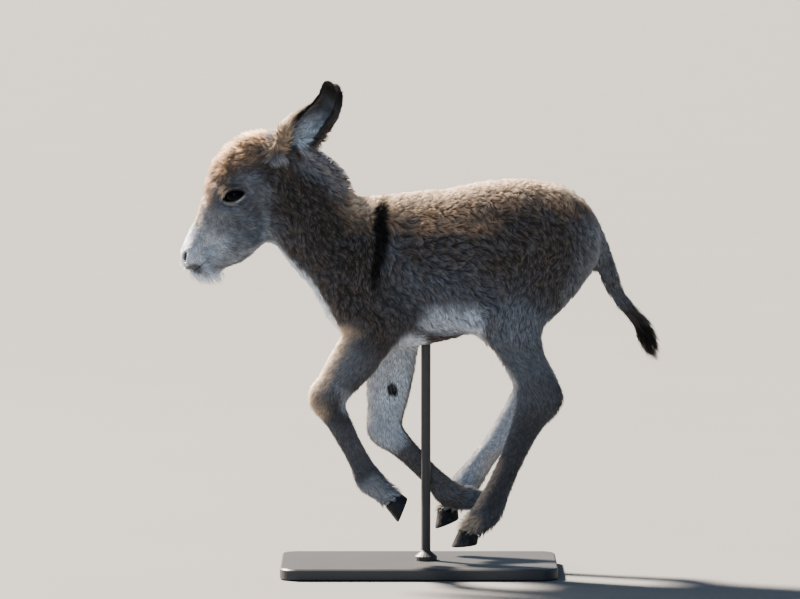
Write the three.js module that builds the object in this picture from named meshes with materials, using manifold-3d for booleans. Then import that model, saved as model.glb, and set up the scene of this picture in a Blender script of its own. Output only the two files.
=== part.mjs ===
// A donkey foal at a gallop, in the moment when its four feet are gathered under it and none touches the
// ground. A flat base and one rod hold it up. Millimetres, +Z up, floor at z = 0. The foal heads along -X
// and its left side is towards -Y.
//
// The body is one smooth field, made of chains of oval sections (trunk, neck, head, legs, tail) and of
// oval muscles blended together. Each piece of the body is that field, turned into facets and cut off at
// its neighbours by thin planes.

import * as THREE from "three";
import { mergeVertices } from "three/addons/utils/BufferGeometryUtils.js";
import Module from "manifold-3d";

const wasm = await Module();
wasm.setup();

// ---- Driving dimensions ------------------------------------------------------------------------------

const GAP = 0.36; // air between neighbouring pieces
const BASE = { long: 470, wide: 260, thick: 20, corner: 26, edge: 2.5 };
const ROD = { x: 12, radius: 8, top: 402, collar: 19, collarHigh: 14 };

const FOREARM = 170; // elbow to knee
const FORE_CANNON = 157; // knee to fetlock
const FORE_PASTERN = 54; // fetlock to coronet
const GASKIN = 149; // stifle to hock
const HIND_CANNON = 213;
const HIND_PASTERN = 48;

const HOOF = { long: 45, wide: 38, high: 30, heel: 15, wall: 60 }; // wall: its slope at the toe, in degrees

const EYE = { at: [-311, 34.5, 644.5], radius: 18 };
const EAR = { long: 158, root: [-241, 30, 711], thick: [5.5, 2.5], roll: [150, 58], twist: 35, flat: 0.62 };

// Smoothing widths of the blends between parts of the body
const BLEND = { torso: 34, leg: 24, face: 12, tail: 14, hock: 10 };

// ---- Small vector tools -------------------------------------------------------------------------------

const add = (a, b) => [a[0] + b[0], a[1] + b[1], a[2] + b[2]];
const sub = (a, b) => [a[0] - b[0], a[1] - b[1], a[2] - b[2]];
const times = (a, s) => [a[0] * s, a[1] * s, a[2] * s];
const dot = (a, b) => a[0] * b[0] + a[1] * b[1] + a[2] * b[2];
const cross = (a, b) => [
  a[1] * b[2] - a[2] * b[1],
  a[2] * b[0] - a[0] * b[2],
  a[0] * b[1] - a[1] * b[0],
];
const size = (a) => Math.hypot(...a);
const unit = (a) => times(a, 1 / size(a));
const mix = (a, b, t) => a + (b - a) * t;
const radians = (degrees) => (degrees * Math.PI) / 180;
const mirrored = (a, side) => [a[0], a[1] * side, a[2], ...a.slice(3)];

// The direction in the XZ plane that leans by an angle from straight down, towards the tail if positive.
const downwards = (degrees) => [Math.sin(radians(degrees)), 0, -Math.cos(radians(degrees))];

// ---- Fields: negative inside, positive outside, about a distance in millimetres --------------------------

// Puts more stations between the given ones, on a smooth curve through every value of a station.
function refined(stations, parts) {
  const span = (i) => size(sub(stations[i + 1], stations[i]));
  const slope = (i, k) => {
    const lo = Math.max(i - 1, 0);
    const hi = Math.min(i + 1, stations.length - 1);
    const run = (lo < i ? span(lo) : 0) + (hi > i ? span(i) : 0);
    return (stations[hi][k] - stations[lo][k]) / run;
  };
  const fine = [];
  for (let i = 0; i + 1 < stations.length; i++) {
    for (let j = 0; j < parts; j++) {
      const t = j / parts;
      const share = 3 * t ** 2 - 2 * t ** 3;
      const [leaving, arriving] = [t ** 3 - 2 * t ** 2 + t, t ** 3 - t ** 2].map((v) => v * span(i));
      fine.push(
        stations[i].map(
          (v, k) => mix(v, stations[i + 1][k], share) + leaving * slope(i, k) + arriving * slope(i + 1, k),
        ),
      );
    }
  }
  return [...fine, stations.at(-1)];
}

// A limb with oval sections. A station is [x, y, z, half depth, half width, egg]: depth lies in the XZ plane,
// and egg is the share by which the section is narrower on its back and wider on its belly.
function chain(stations, { parts = 4, power = 2 } = {}) {
  const fine = refined(stations.map((s) => [...s, 0].slice(0, 6)), parts);
  const links = fine.slice(1).map((b, i) => {
    const a = fine[i];
    const along = sub(b, a);
    const u = unit(along);
    const n = unit(cross(u, [0, 1, 0]));
    return { a, b, along, u, n, l: cross(n, u), length2: dot(along, along) };
  });
  const at = (p) => {
    let least = Infinity;
    for (const { a, b, along, u, n, l, length2 } of links) {
      const r0 = sub(p, a);
      const t = Math.min(1, Math.max(0, dot(r0, along) / length2));
      const r = sub(r0, times(along, t));
      const reach = size(r);
      const deep = mix(a[3], b[3], t);
      if (reach - Math.max(deep, mix(a[4], b[4], t) * 1.4) > least) continue;
      const up = dot(r, n) / deep;
      const wide = mix(a[4], b[4], t) * (1 - mix(a[5], b[5], t) * Math.max(-1, Math.min(1, up)));
      const across = Math.abs(dot(r, l)) / wide;
      const beyond = dot(r, u) / deep;
      const q = (Math.hypot(up, beyond) ** power + across ** power) ** (1 / power);
      const d = q < 1e-6 ? -Math.min(deep, wide) : reach * (1 - 1 / q);
      least = Math.min(least, d);
    }
    return least;
  };
  return { at, balls: fine.map((s) => [s[0], s[1], s[2], Math.max(s[3], s[4] * 1.3)]) };
}

// An oval muscle or bone: radii along its own length, across and through, leaning in the XZ plane.
function oval(centre, [rx, ry, rz], lean = 0) {
  const c = Math.cos(radians(lean));
  const s = Math.sin(radians(lean));
  const at = (p) => {
    const [x, y, z] = sub(p, centre);
    const q = Math.hypot((x * c + z * s) / rx, y / ry, (z * c - x * s) / rz);
    return q < 1e-6 ? -Math.min(rx, ry, rz) : Math.hypot(x, y, z) * (1 - 1 / q);
  };
  return { at, balls: [[...centre, Math.max(rx, ry, rz)]] };
}

function withBounds(field) {
  const middle = [0, 1, 2].map((k) => field.balls.reduce((s, b) => s + b[k], 0) / field.balls.length);
  const radius = Math.max(...field.balls.map((b) => size(sub(b, middle)) + b[3]));
  return { ...field, middle, radius };
}

const smoothMin = (a, b, k) => Math.min(a, b) - Math.max(k - Math.abs(a - b), 0) ** 2 / (4 * k);

function blended(k, ...fields) {
  const parts = fields.map(withBounds);
  const at = (p) => {
    let d = Infinity;
    for (const f of parts) {
      if (size(sub(p, f.middle)) - f.radius > d + k) continue;
      d = d === Infinity ? f.at(p) : smoothMin(d, f.at(p), k);
    }
    return d;
  };
  return { at, balls: fields.flatMap((f) => f.balls) };
}

const hollowed = (k, field, ...hollows) => ({
  at: (p) => hollows.reduce((d, h) => -smoothMin(-d, h.at(p), k), field.at(p)),
  balls: field.balls,
});

// ---- Torso, neck and head -----------------------------------------------------------------------------

const SIDES = [-1, 1];
const bothSides = (make) => SIDES.map(make);

const trunk = chain(
  [
    [-59, 0, 487, 101, 70, 0.1], // breast
    [2, 0, 517, 128, 79, 0.16], // girth
    [62, 0, 532, 121, 86, 0.06], // ribs
    [118, 0, 549, 117, 83, 0],
    [164, 0, 564, 107, 79, 0],
    [203, 0, 563, 102, 74, 0.1], // rump
  ],
  { power: 2.2 },
);

const neck = chain(
  [
    [-222, 0, 678, 62, 36], // behind the poll
    [-197, 0, 638, 74, 41],
    [-165, 0, 587, 81, 47],
    [-114, 0, 549, 93, 58],
    [-80, 0, 521, 104, 68], // between the withers and the breast
  ].map((s) => [...s, 0.22]),
);

const mane = chain([
  [-178, 0, 708, 12, 8],
  [-154, 0, 692, 15, 8],
  [-135, 0, 678, 14, 7.5],
  [-127, 0, 660, 9, 7],
]);

const skull = chain(
  [
    [-372, 0, 542, 34, 27, 0], // muzzle
    [-349, 0, 561, 47, 29, -0.05],
    [-323, 0, 586, 60, 37, -0.12], // face
    [-304, 0, 624, 66, 49, -0.2], // eyes
    [-299, 0, 666, 62, 54, -0.12], // brow
    [-283, 0, 696, 55, 48, 0],
    [-266, 0, 711, 43, 38, 0], // poll
  ],
  { power: 2.15 },
);

const cheeks = bothSides((side) => oval([-284, 25 * side, 600], [37, 16, 46], -12));
const brows = bothSides((side) => oval([-309, 45 * side, 665], [24, 9, 11], 20));
const earRoots = bothSides((side) => oval([-238, 27 * side, 712], [25, 21, 24], -35));
const nostrilWings = bothSides((side) => oval([-385, 15 * side, 545], [15, 13, 21], -25));
const lips = [oval([-377, 0, 527], [21, 23, 13], -30), oval([-361, 0, 517], [23, 19, 13], -18)];
const eyeHollows = bothSides((side) => oval([-313, 58 * side, 644], [26, 14, 15], 20));
const nostrils = bothSides((side) => oval([-401, 18 * side, 543], [6, 5, 10], -25));

const head = hollowed(
  6,
  blended(BLEND.face, skull, ...cheeks, ...brows, ...nostrilWings, ...lips),
  ...eyeHollows,
  ...nostrils,
);

const withers = oval([-52, 0, 604], [62, 26, 30], 14);
const shoulders = bothSides((side) =>
  chain([
    [-62, 40 * side, 588, 32, 22],
    [-84, 52 * side, 520, 46, 28],
    [-97, 54 * side, 458, 33, 28],
  ]),
);
const thighs = bothSides((side) =>
  chain([
    [212, 42 * side, 566, 90, 34],
    [184, 48 * side, 510, 84, 36],
    [161, 51 * side, 470, 66, 36],
    [148, 54 * side, 442, 53, 35],
  ]),
);
const flanks = bothSides((side) => oval([92, 44 * side, 452], [42, 22, 25], 25));
const breast = oval([-98, 0, 455], [36, 44, 46], 40);

const torso = blended(
  BLEND.torso,
  blended(BLEND.face, head, ...earRoots),
  blended(BLEND.face, neck, mane),
  trunk,
  withers,
  breast,
  ...shoulders,
  ...thighs,
  ...flanks,
);

// ---- Legs: the same girths for both legs of a pair, posed by the angle of each bone ------------------------

// [bone, share of its length, half depth, half width]
const FORE_GIRTHS = [
  [0, 0, 30, 28],
  [1, 0, 40, 29],
  [1, 0.3, 44, 28.5],
  [1, 0.6, 41, 26],
  [1, 0.84, 34, 24],
  [2, 0, 33, 23],
  [2, 0.2, 25, 19],
  [2, 0.5, 20.5, 16],
  [2, 0.8, 20.5, 16],
  [3, 0, 25.5, 20],
  [3, 0.5, 21, 17.5],
  [3, 1, 20, 18],
];
const HIND_GIRTHS = [
  [0, 0, 56, 37],
  [1, 0, 51, 35],
  [1, 0.35, 43, 31],
  [1, 0.7, 37, 25],
  [2, 0, 41, 23],
  [2, 0.13, 33, 21],
  [2, 0.27, 27, 19],
  [2, 0.5, 23, 17],
  [2, 0.75, 22.5, 17],
  [3, 0, 27, 20.5],
  [3, 0.5, 22.5, 18],
  [3, 1, 20.5, 18.5],
];

// Each leg: its two upper joints, the lean of the bones below the second, the distance of its last three
// joints from the middle plane, and the pitch of its sole, from flat up to the heel.
const LEGS = [
  {
    name: "foreleg_left",
    fore: true,
    joints: [[-104, -57, 446], [-56, -56, 439]],
    leans: [-36.6, 27.6, 49],
    wide: [-50, -44, -43],
    pitch: 68,
  },
  {
    name: "foreleg_right",
    fore: true,
    joints: [[-98, 57, 432], [-40, 56, 411]],
    leans: [-6.5, 44.8, 76],
    wide: [45, 33, 32],
    pitch: 97,
  },
  {
    name: "hindleg_left",
    fore: false,
    joints: [[164, -54, 478], [148, -58, 443]],
    leans: [22, -24, -42],
    wide: [-60, -58, -58],
    pitch: 5,
  },
  {
    name: "hindleg_right",
    fore: false,
    joints: [[160, 54, 470], [144, 60, 449]],
    leans: [22.3, -35.5, -34],
    wide: [64, 74, 76],
    pitch: 22,
  },
];

function posed(leg) {
  const bones = leg.fore ? [FOREARM, FORE_CANNON, FORE_PASTERN] : [GASKIN, HIND_CANNON, HIND_PASTERN];
  const joints = [...leg.joints];
  bones.forEach((length, i) => {
    const next = add(joints.at(-1), times(downwards(leg.leans[i]), length));
    joints.push([next[0], leg.wide[i], next[2]]);
  });
  const girths = leg.fore ? FORE_GIRTHS : HIND_GIRTHS;
  const stations = girths.map(([bone, share, deep, wide]) => {
    const a = joints[bone];
    const b = joints[bone + 1];
    return [...add(a, times(sub(b, a), share)), deep, wide];
  });
  return { ...leg, joints, stations, side: Math.sign(leg.wide[0]) };
}

const legs = LEGS.map(posed);

const hockPoint = (leg) => {
  const [, , hock, fetlock] = leg.joints;
  const up = unit(sub(hock, fetlock));
  const back = unit(cross([0, 1, 0], up));
  return oval(add(add(hock, times(up, 8)), times(back, 28)), [13, 12, 26], -12);
};

const legField = (leg) => {
  const limb = chain(leg.stations);
  return leg.fore ? limb : blended(BLEND.hock, limb, hockPoint(leg));
};

const withLeg = (leg) => blended(BLEND.leg, torso, legField(leg));

// ---- Tail ---------------------------------------------------------------------------------------------

const tail = chain([
  [280, 0, 602, 17, 16],
  [300, 0, 570, 18, 15],
  [312, 0, 538, 17, 14],
  [325, 0, 503, 15.5, 12],
  [339, 0, 473, 14, 11],
  [358, 0, 449, 13.5, 11],
  [374, 0, 429, 15, 13],
  [383, 0, 410, 17, 14],
  [389, 0, 393, 12, 9],
]);

// ---- From fields to facets -----------------------------------------------------------------------------

// How far the facets may lie off the field, and how far the thinning of a finished piece may move them
const COARSE = 0.5;
const FINISH = 0.02;

// A region of space with a flat outside: the space behind a plane, or a box along a direction.
const FAR = 1500;

function placedBox(half, matrix) {
  return solidOf(new THREE.BoxGeometry(2 * half[0], 2 * half[1], 2 * half[2]).applyMatrix4(matrix));
}

function behind(point, normal, gap = GAP / 2) {
  const n = unit(normal);
  const turn = new THREE.Quaternion().setFromUnitVectors(new THREE.Vector3(0, 0, 1), new THREE.Vector3(...n));
  const centre = new THREE.Vector3(...sub(point, times(n, FAR + gap)));
  const matrix = new THREE.Matrix4().compose(centre, turn, new THREE.Vector3(1, 1, 1));
  return {
    distance: (p) => dot(sub(p, point), n) + gap,
    solid: () => placedBox([FAR, FAR, FAR], matrix),
  };
}

// The box of space that a limb leaves the body by: its end wall holds a point and it runs along a direction.
// Its other walls stand at distances ahead of that line, behind it and to both sides.
function around(point, direction, { front, rear, side, long }, grow = 0) {
  const down = unit(direction);
  const forwards = unit(cross([0, 1, 0], down));
  const middle = add(point, add(times(down, long / 2), times(forwards, (front - rear) / 2)));
  const matrix = new THREE.Matrix4().makeBasis(
    new THREE.Vector3(...forwards),
    new THREE.Vector3(...cross(down, forwards)),
    new THREE.Vector3(...down),
  );
  matrix.setPosition(...middle);
  const inverse = matrix.clone().invert();
  const half = [(front + rear) / 2 + grow, side + grow, long / 2 + grow];
  return {
    distance: (p) => {
      const v = new THREE.Vector3(...p).applyMatrix4(inverse);
      return Math.max(Math.abs(v.x) - half[0], Math.abs(v.y) - half[1], Math.abs(v.z) - half[2]);
    },
    solid: () => placedBox(half, matrix),
  };
}

function solidOf(geometry) {
  const bare = new THREE.BufferGeometry().setAttribute("position", geometry.getAttribute("position"));
  if (geometry.index) bare.setIndex(geometry.index);
  const merged = mergeVertices(bare, 1e-4);
  return new wasm.Manifold(
    new wasm.Mesh({
      numProp: 3,
      vertProperties: new Float32Array(merged.attributes.position.array),
      triVerts: new Uint32Array(merged.index.array),
    }),
  );
}

function geometryOf(solid) {
  const mesh = solid.getMesh();
  const points = new Float32Array(mesh.numVert * 3);
  for (let i = 0; i < mesh.numVert; i++) {
    points.set(mesh.vertProperties.subarray(i * mesh.numProp, i * mesh.numProp + 3), i * 3);
  }
  const geometry = new THREE.BufferGeometry().setAttribute("position", new THREE.BufferAttribute(points, 3));
  geometry.setIndex(new THREE.BufferAttribute(mesh.triVerts, 1));
  geometry.computeVertexNormals();
  return geometry;
}

const largest = (solid) => solid.decompose().reduce((a, b) => (b.volume() > a.volume() ? b : a));

// Merges corners that the surface doesn't need, shortest edges first, while the planes of the facets that met
// there stay within a distance of the new corner.
function thinned(geometry, worst) {
  const flat = geometry.attributes.position.array;
  const points = [...Array(flat.length / 3).keys()].map((i) => [...flat.slice(3 * i, 3 * i + 3)]);
  const order = geometry.index.array;
  let faces = [...Array(order.length / 3).keys()].map((i) => [...order.slice(3 * i, 3 * i + 3)]);
  const quadrics = points.map(() => new Array(11).fill(0));
  const normalOf = ([a, b, c]) => cross(sub(b, a), sub(c, a));
  for (const face of faces) {
    const corners = face.map((v) => points[v]);
    const normal = normalOf(corners);
    const area = size(normal);
    if (area < 1e-9) continue;
    const [x, y, z] = unit(normal);
    const w = -dot([x, y, z], corners[0]);
    const q = [x * x, x * y, x * z, x * w, y * y, y * z, y * w, z * z, z * w, w * w, 1];
    for (const v of face) q.forEach((value, k) => (quadrics[v][k] += value * area));
  }
  const squared = (q, [x, y, z]) =>
    (q[0] * x * x + q[4] * y * y + q[7] * z * z + q[9]) / q[10] +
    (2 * (q[1] * x * y + q[2] * x * z + q[5] * y * z + q[3] * x + q[6] * y + q[8] * z)) / q[10];
  const best = (q, middle) => {
    const firm = 1e-3 * q[10];
    const rows = [[q[0] + firm, q[1], q[2]], [q[1], q[4] + firm, q[5]], [q[2], q[5], q[7] + firm]];
    const right = [q[3], q[6], q[8]].map((v, k) => firm * middle[k] - v);
    const turned = [cross(rows[1], rows[2]), cross(rows[2], rows[0]), cross(rows[0], rows[1])];
    const sum = turned.reduce((total, row, k) => add(total, times(row, right[k])), [0, 0, 0]);
    return times(sum, 1 / dot(rows[0], turned[0]));
  };

  for (let merged = 1; merged > 0; ) {
    merged = 0;
    const facesAt = points.map(() => []);
    faces.forEach((face) => face.forEach((v) => facesAt[v].push(face)));
    const edges = [];
    for (const face of faces) {
      face.forEach((a, k) => {
        const b = face[(k + 1) % 3];
        if (a > b) return;
        const q = quadrics[a].map((value, n) => value + quadrics[b][n]);
        if (!q[10]) return;
        const at = best(q, times(add(points[a], points[b]), 0.5));
        const reach = size(sub(points[a], points[b]));
        const off = Math.sqrt(Math.max(0, squared(q, at)));
        if (off < worst) edges.push({ a, b, q, at, cost: off + 0.004 * reach });
      });
    }
    edges.sort((e, f) => e.cost - f.cost);
    const touched = new Uint8Array(points.length);
    for (const { a, b, q, at } of edges) {
      const ring = new Set([...facesAt[a], ...facesAt[b]].flat());
      if ([...ring].some((v) => touched[v])) continue;
      const nextTo = (v) => new Set(facesAt[v].flat());
      const [nearA, nearB] = [nextTo(a), nextTo(b)];
      if ([...nearA].filter((v) => v !== a && v !== b && nearB.has(v)).length !== 2) continue;
      const kept = [...facesAt[a], ...facesAt[b]].filter((f) => !(f.includes(a) && f.includes(b)));
      const folds = kept.some((face) => {
        const before = face.map((v) => points[v]);
        const after = face.map((v) => (v === a || v === b ? at : points[v]));
        const [n, m] = [normalOf(before), normalOf(after)];
        const long = Math.max(...after.map((p, k) => size(sub(p, after[(k + 1) % 3]))));
        if (size(n) < 0.02 * long * long && size(m) < 0.02 * long * long) return false;
        return dot(n, m) < 0.4 * size(n) * size(m) || size(m) < 0.06 * long * long;
      });
      if (folds) continue;
      for (const v of ring) touched[v] = 1;
      for (const face of kept) face.forEach((v, k) => (face[k] = v === b ? a : v));
      for (const face of facesAt[b]) if (!kept.includes(face)) face.gone = true;
      points[a] = at;
      quadrics[a] = q;
      merged++;
    }
    faces = faces.filter((face) => !face.gone);
  }
  return surface(points, faces.flat());
}

function surface(points, triangles) {
  const geometry = new THREE.BufferGeometry();
  geometry.setAttribute("position", new THREE.BufferAttribute(new Float32Array(points.flat()), 3));
  geometry.setIndex([...triangles]);
  return geometry;
}

// Facets on the zero level of a field, one corner to each cell that the surface crosses, pulled onto the
// surface. Cells are boxes in a frame that leans by an angle in the XZ plane, so that long cells suit a limb.
function facets(field, regions, cell, lean = 0) {
  const c = Math.cos(radians(lean));
  const s = Math.sin(radians(lean));
  const outOf = ([x, y, z]) => [x * c + z * s, y, z * c - x * s];
  const into = ([x, y, z]) => [x * c - z * s, y, z * c + x * s];
  const margin = Math.max(...cell);
  const value = (p) => regions.reduce((d, r) => Math.max(d, r.distance(p) - margin), field.at(p));

  const kept = field.balls.filter((b) => regions.every((r) => r.distance(b) < b[3] + margin));
  const low = [Infinity, Infinity, Infinity];
  const high = [-Infinity, -Infinity, -Infinity];
  for (const ball of kept) {
    const q = into(ball);
    for (let k = 0; k < 3; k++) {
      low[k] = Math.min(low[k], q[k] - ball[3]);
      high[k] = Math.max(high[k], q[k] + ball[3]);
    }
  }
  const start = low.map((v, k) => v - 2.5 * cell[k]);
  const count = high.map((v, k) => Math.ceil((v - start[k]) / cell[k]) + 3);
  const place = (i, j, k) => outOf([start[0] + i * cell[0], start[1] + j * cell[1], start[2] + k * cell[2]]);
  const index = (i, j, k) => (i * count[1] + j) * count[2] + k;
  const values = new Float64Array(count[0] * count[1] * count[2]);
  for (let i = 0; i < count[0]; i++)
    for (let j = 0; j < count[1]; j++)
      for (let k = 0; k < count[2]; k++) {
        const onRim = [i, j, k].some((v, axis) => v === 0 || v === count[axis] - 1);
        values[index(i, j, k)] = onRim ? 1 : value(place(i, j, k)) || 1e-9;
      }

  const corners = [];
  const cornerOf = new Map();
  const CUBE = [...Array(8).keys()].map((n) => [n & 1, (n >> 1) & 1, (n >> 2) & 1]);
  const nextTo = (a, b) => size(sub(a, b)) === 1;
  const EDGES = CUBE.flatMap((a, n) => CUBE.slice(n + 1).flatMap((b) => (nextTo(a, b) ? [[a, b]] : [])));
  for (let i = 0; i + 1 < count[0]; i++)
    for (let j = 0; j + 1 < count[1]; j++)
      for (let k = 0; k + 1 < count[2]; k++) {
        let sum = [0, 0, 0];
        let crossings = 0;
        for (const [a, b] of EDGES) {
          const va = values[index(i + a[0], j + a[1], k + a[2])];
          const vb = values[index(i + b[0], j + b[1], k + b[2])];
          if (va < 0 === vb < 0) continue;
          const t = va / (va - vb);
          sum = add(sum, add(a, times(sub(b, a), t)));
          crossings++;
        }
        if (!crossings) continue;
        const inCell = times(sum, 1 / crossings);
        cornerOf.set(index(i, j, k), corners.length);
        corners.push(pulled(place(i + inCell[0], j + inCell[1], k + inCell[2]), value, Math.min(...cell)));
      }

  const triangles = [];
  const quad = (a, b, c2, d) => {
    const [pa, pb, pc, pd] = [a, b, c2, d].map((n) => corners[n]);
    if (size(sub(pa, pc)) < size(sub(pb, pd))) triangles.push(a, b, c2, a, c2, d);
    else triangles.push(a, b, d, b, c2, d);
  };
  for (let i = 1; i + 1 < count[0]; i++)
    for (let j = 1; j + 1 < count[1]; j++)
      for (let k = 1; k + 1 < count[2]; k++) {
        const here = values[index(i, j, k)] < 0;
        for (let axis = 0; axis < 3; axis++) {
          const next = [i, j, k].map((v, n) => v + (n === axis ? 1 : 0));
          if (here === values[index(...next)] < 0) continue;
          const [u, v] = [(axis + 1) % 3, (axis + 2) % 3];
          const back = (du, dv) => {
            const q = [i, j, k];
            q[u] -= du;
            q[v] -= dv;
            return cornerOf.get(index(...q));
          };
          const ring = [back(0, 0), back(1, 0), back(1, 1), back(0, 1)];
          quad(...(here ? ring : ring.reverse()));
        }
      }
  return surface(corners, triangles);
}

// One step of Newton's method onto the surface, no longer than half a cell.
function pulled(p, value, reach) {
  const h = 0.5;
  const v = value(p);
  const slope = [0, 1, 2].map((k) => {
    const ahead = [...p];
    ahead[k] += h;
    return (value(ahead) - v) / h;
  });
  const step = times(slope, -v / Math.max(dot(slope, slope), 0.05));
  return add(p, times(step, Math.min(1, (0.5 * reach) / Math.max(size(step), 1e-9))));
}

// A surface is pinched where more than two of its facets share an edge.
function pinched(geometry) {
  const edges = new Set();
  const order = geometry.index.array;
  return order.some((a, i) => {
    const edge = `${a},${order[i % 3 === 2 ? i - 2 : i + 1]}`;
    return edges.size === edges.add(edge).size;
  });
}

function cutOut(field, regions, cell, lean = 0) {
  let whole = facets(field, regions, cell, lean);
  for (let finer = 0.98; pinched(whole); finer -= 0.02) {
    whole = facets(field, regions, times(cell, finer), lean);
  }
  return largest(
    regions.reduce((solid, region) => solid.intersect(region.solid()), solidOf(thinned(whole, COARSE))),
  );
}

// ---- The pieces ---------------------------------------------------------------------------------------

const FINISHES = {
  coat: { color: 0x7d6a5c, roughness: 0.95 },
  ear: { color: 0x5d4d43, roughness: 0.95 },
  hoof: { color: 0x3a3735, roughness: 0.6 },
  eye: { color: 0x120d0b, roughness: 0.08 },
  stand: { color: 0x2b2b2d, roughness: 0.45 },
};
const materials = Object.fromEntries(
  Object.entries(FINISHES).map(([name, f]) => [name, new THREE.MeshStandardMaterial({ ...f, metalness: 0 })]),
);

const model = new THREE.Group();

function piece(name, solid, finish) {
  const mesh = new THREE.Mesh(thinned(geometryOf(solid), FINISH), materials[finish]);
  mesh.name = name;
  model.add(mesh);
  return mesh;
}

// Planes between head and neck, and between neck and trunk
const THROAT = { at: [-219, 0, 638], back: [0.944, 0, -0.331] };
const COLLAR = { at: [-119, 0, 567], back: [0.777, 0, -0.63] };

const flipped = ({ at, back }) => behind(at, times(back, -1));
const ahead = ({ at, back }) => behind(at, back);

// Where each leg leaves the trunk: a share of its upper bone, and the walls of the box around it
const STUBS = {
  fore: { share: 0.44, front: 52, rear: 50, side: 44, long: 260 },
  hind: { share: 0.3, front: 62, rear: 70, side: 50, long: 260 },
};

function stubOf(leg, grow = 0) {
  const [, top, knee] = leg.joints;
  const stub = leg.fore ? STUBS.fore : STUBS.hind;
  return around(add(top, times(sub(knee, top), stub.share)), sub(knee, top), stub, grow);
}

// Where the tail leaves the rump
const DOCK = { at: [304, 0, 590], down: [14, 0, -60], walls: { front: 21, rear: 90, side: 18, long: 230 } };
const tailStub = (grow) => around(DOCK.at, DOCK.down, DOCK.walls, grow);

const eyeBall = (side, radius) =>
  solidOf(new THREE.SphereGeometry(radius, 16, 10).rotateX(Math.PI / 2).translate(...mirrored(EYE.at, side)));

const headSolid = SIDES.reduce(
  (solid, side) => solid.subtract(eyeBall(side, EYE.radius + GAP)),
  cutOut(torso, [ahead(THROAT)], [9.5, 9, 9.5], 32),
);
piece("head", headSolid, "coat");
for (const side of SIDES) piece(side < 0 ? "eye_left" : "eye_right", eyeBall(side, EYE.radius), "eye");

const neckSolid = cutOut(torso, [flipped(THROAT), ahead(COLLAR)], [15, 13, 15], 38);
piece("neck", neckSolid, "coat");

const withTail = blended(BLEND.tail, torso, tail);
const withUppers = legs.map((leg) => blended(BLEND.leg, torso, chain(leg.stations.slice(0, 5))));
const wholeBody = {
  at: (p) => Math.min(withTail.at(p), ...withUppers.map((field) => field.at(p))),
  balls: [...withUppers.flatMap((field) => field.balls), ...withTail.balls],
};
const trunkSolid = largest(
  [...legs.map((leg) => stubOf(leg, GAP)), tailStub(GAP)].reduce(
    (solid, stub) => solid.subtract(stub.solid()),
    cutOut(wholeBody, [flipped(COLLAR), behind([318, 0, 560], [1, 0, 0])], [18, 16, 17]),
  ),
);
piece("trunk", trunkSolid, "coat");
piece("tail", cutOut(withTail, [tailStub(0)], [9, 9, 15], -30), "coat");

// A hoof: rings from the sole to the coronet, egg shaped, with its toe towards -x and its sole at z = 0.
const HOOF_SIDES = 18;

function hoofRing(share) {
  const toe = -HOOF.long / 2 + (HOOF.high * share) / Math.tan(radians(HOOF.wall));
  const heel = HOOF.long / 2 + 4 * share;
  const wide = HOOF.wide / 2 - 2.5 * share;
  return [...Array(HOOF_SIDES).keys()].map((i) => {
    const turn = (2 * Math.PI * i) / HOOF_SIDES;
    const back = (1 - Math.cos(turn)) / 2; // 0 at the toe, 1 at the heel
    const narrow = 1 - 0.14 * back * back;
    return [mix(toe, heel, back), wide * Math.sin(turn) * narrow, share * mix(HOOF.high, HOOF.heel, back)];
  });
}

function hoofGeometry() {
  const rings = [0, 0.12, 0.55, 1].map(hoofRing);
  rings[0] = rings[0].map(([x, y]) => [x * 0.95, y * 0.95, 0]);
  const points = [...rings.flat(), [0, 0, 0], [...times(rings.at(-1).reduce(add), 1 / HOOF_SIDES)]];
  const faces = [];
  for (let r = 0; r + 1 < rings.length; r++)
    for (let i = 0; i < HOOF_SIDES; i++) {
      const [a, b] = [r * HOOF_SIDES + i, r * HOOF_SIDES + ((i + 1) % HOOF_SIDES)];
      faces.push(a, a + HOOF_SIDES, b, b, a + HOOF_SIDES, b + HOOF_SIDES);
    }
  const [sole, top] = [points.length - 2, points.length - 1];
  const last = (rings.length - 1) * HOOF_SIDES;
  for (let i = 0; i < HOOF_SIDES; i++) {
    const j = (i + 1) % HOOF_SIDES;
    faces.push(sole, i, j, top, last + j, last + i);
  }
  return surface(points, faces);
}

// The hoof's own frame: its coronet's middle meets the end of the pastern.
function hoofMatrix(leg) {
  const ring = hoofRing(1);
  const middle = times(ring.reduce(add), 1 / HOOF_SIDES);
  const matrix = new THREE.Matrix4().makeRotationY(-radians(leg.pitch));
  const seat = new THREE.Vector3(...middle).applyMatrix4(matrix);
  matrix.setPosition(...sub(leg.joints.at(-1), seat.toArray()));
  return matrix;
}

function coronetPlane(leg) {
  const ring = hoofRing(1);
  const matrix = hoofMatrix(leg);
  const toe = new THREE.Vector3(...ring[0]).applyMatrix4(matrix);
  const heel = new THREE.Vector3(...ring[HOOF_SIDES / 2]).applyMatrix4(matrix);
  const up = cross(sub(heel.toArray(), toe.toArray()), [0, 1, 0]);
  const middle = times(add(toe.toArray(), heel.toArray()), 0.5);
  return { at: middle, back: times(up, -1) };
}

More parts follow.
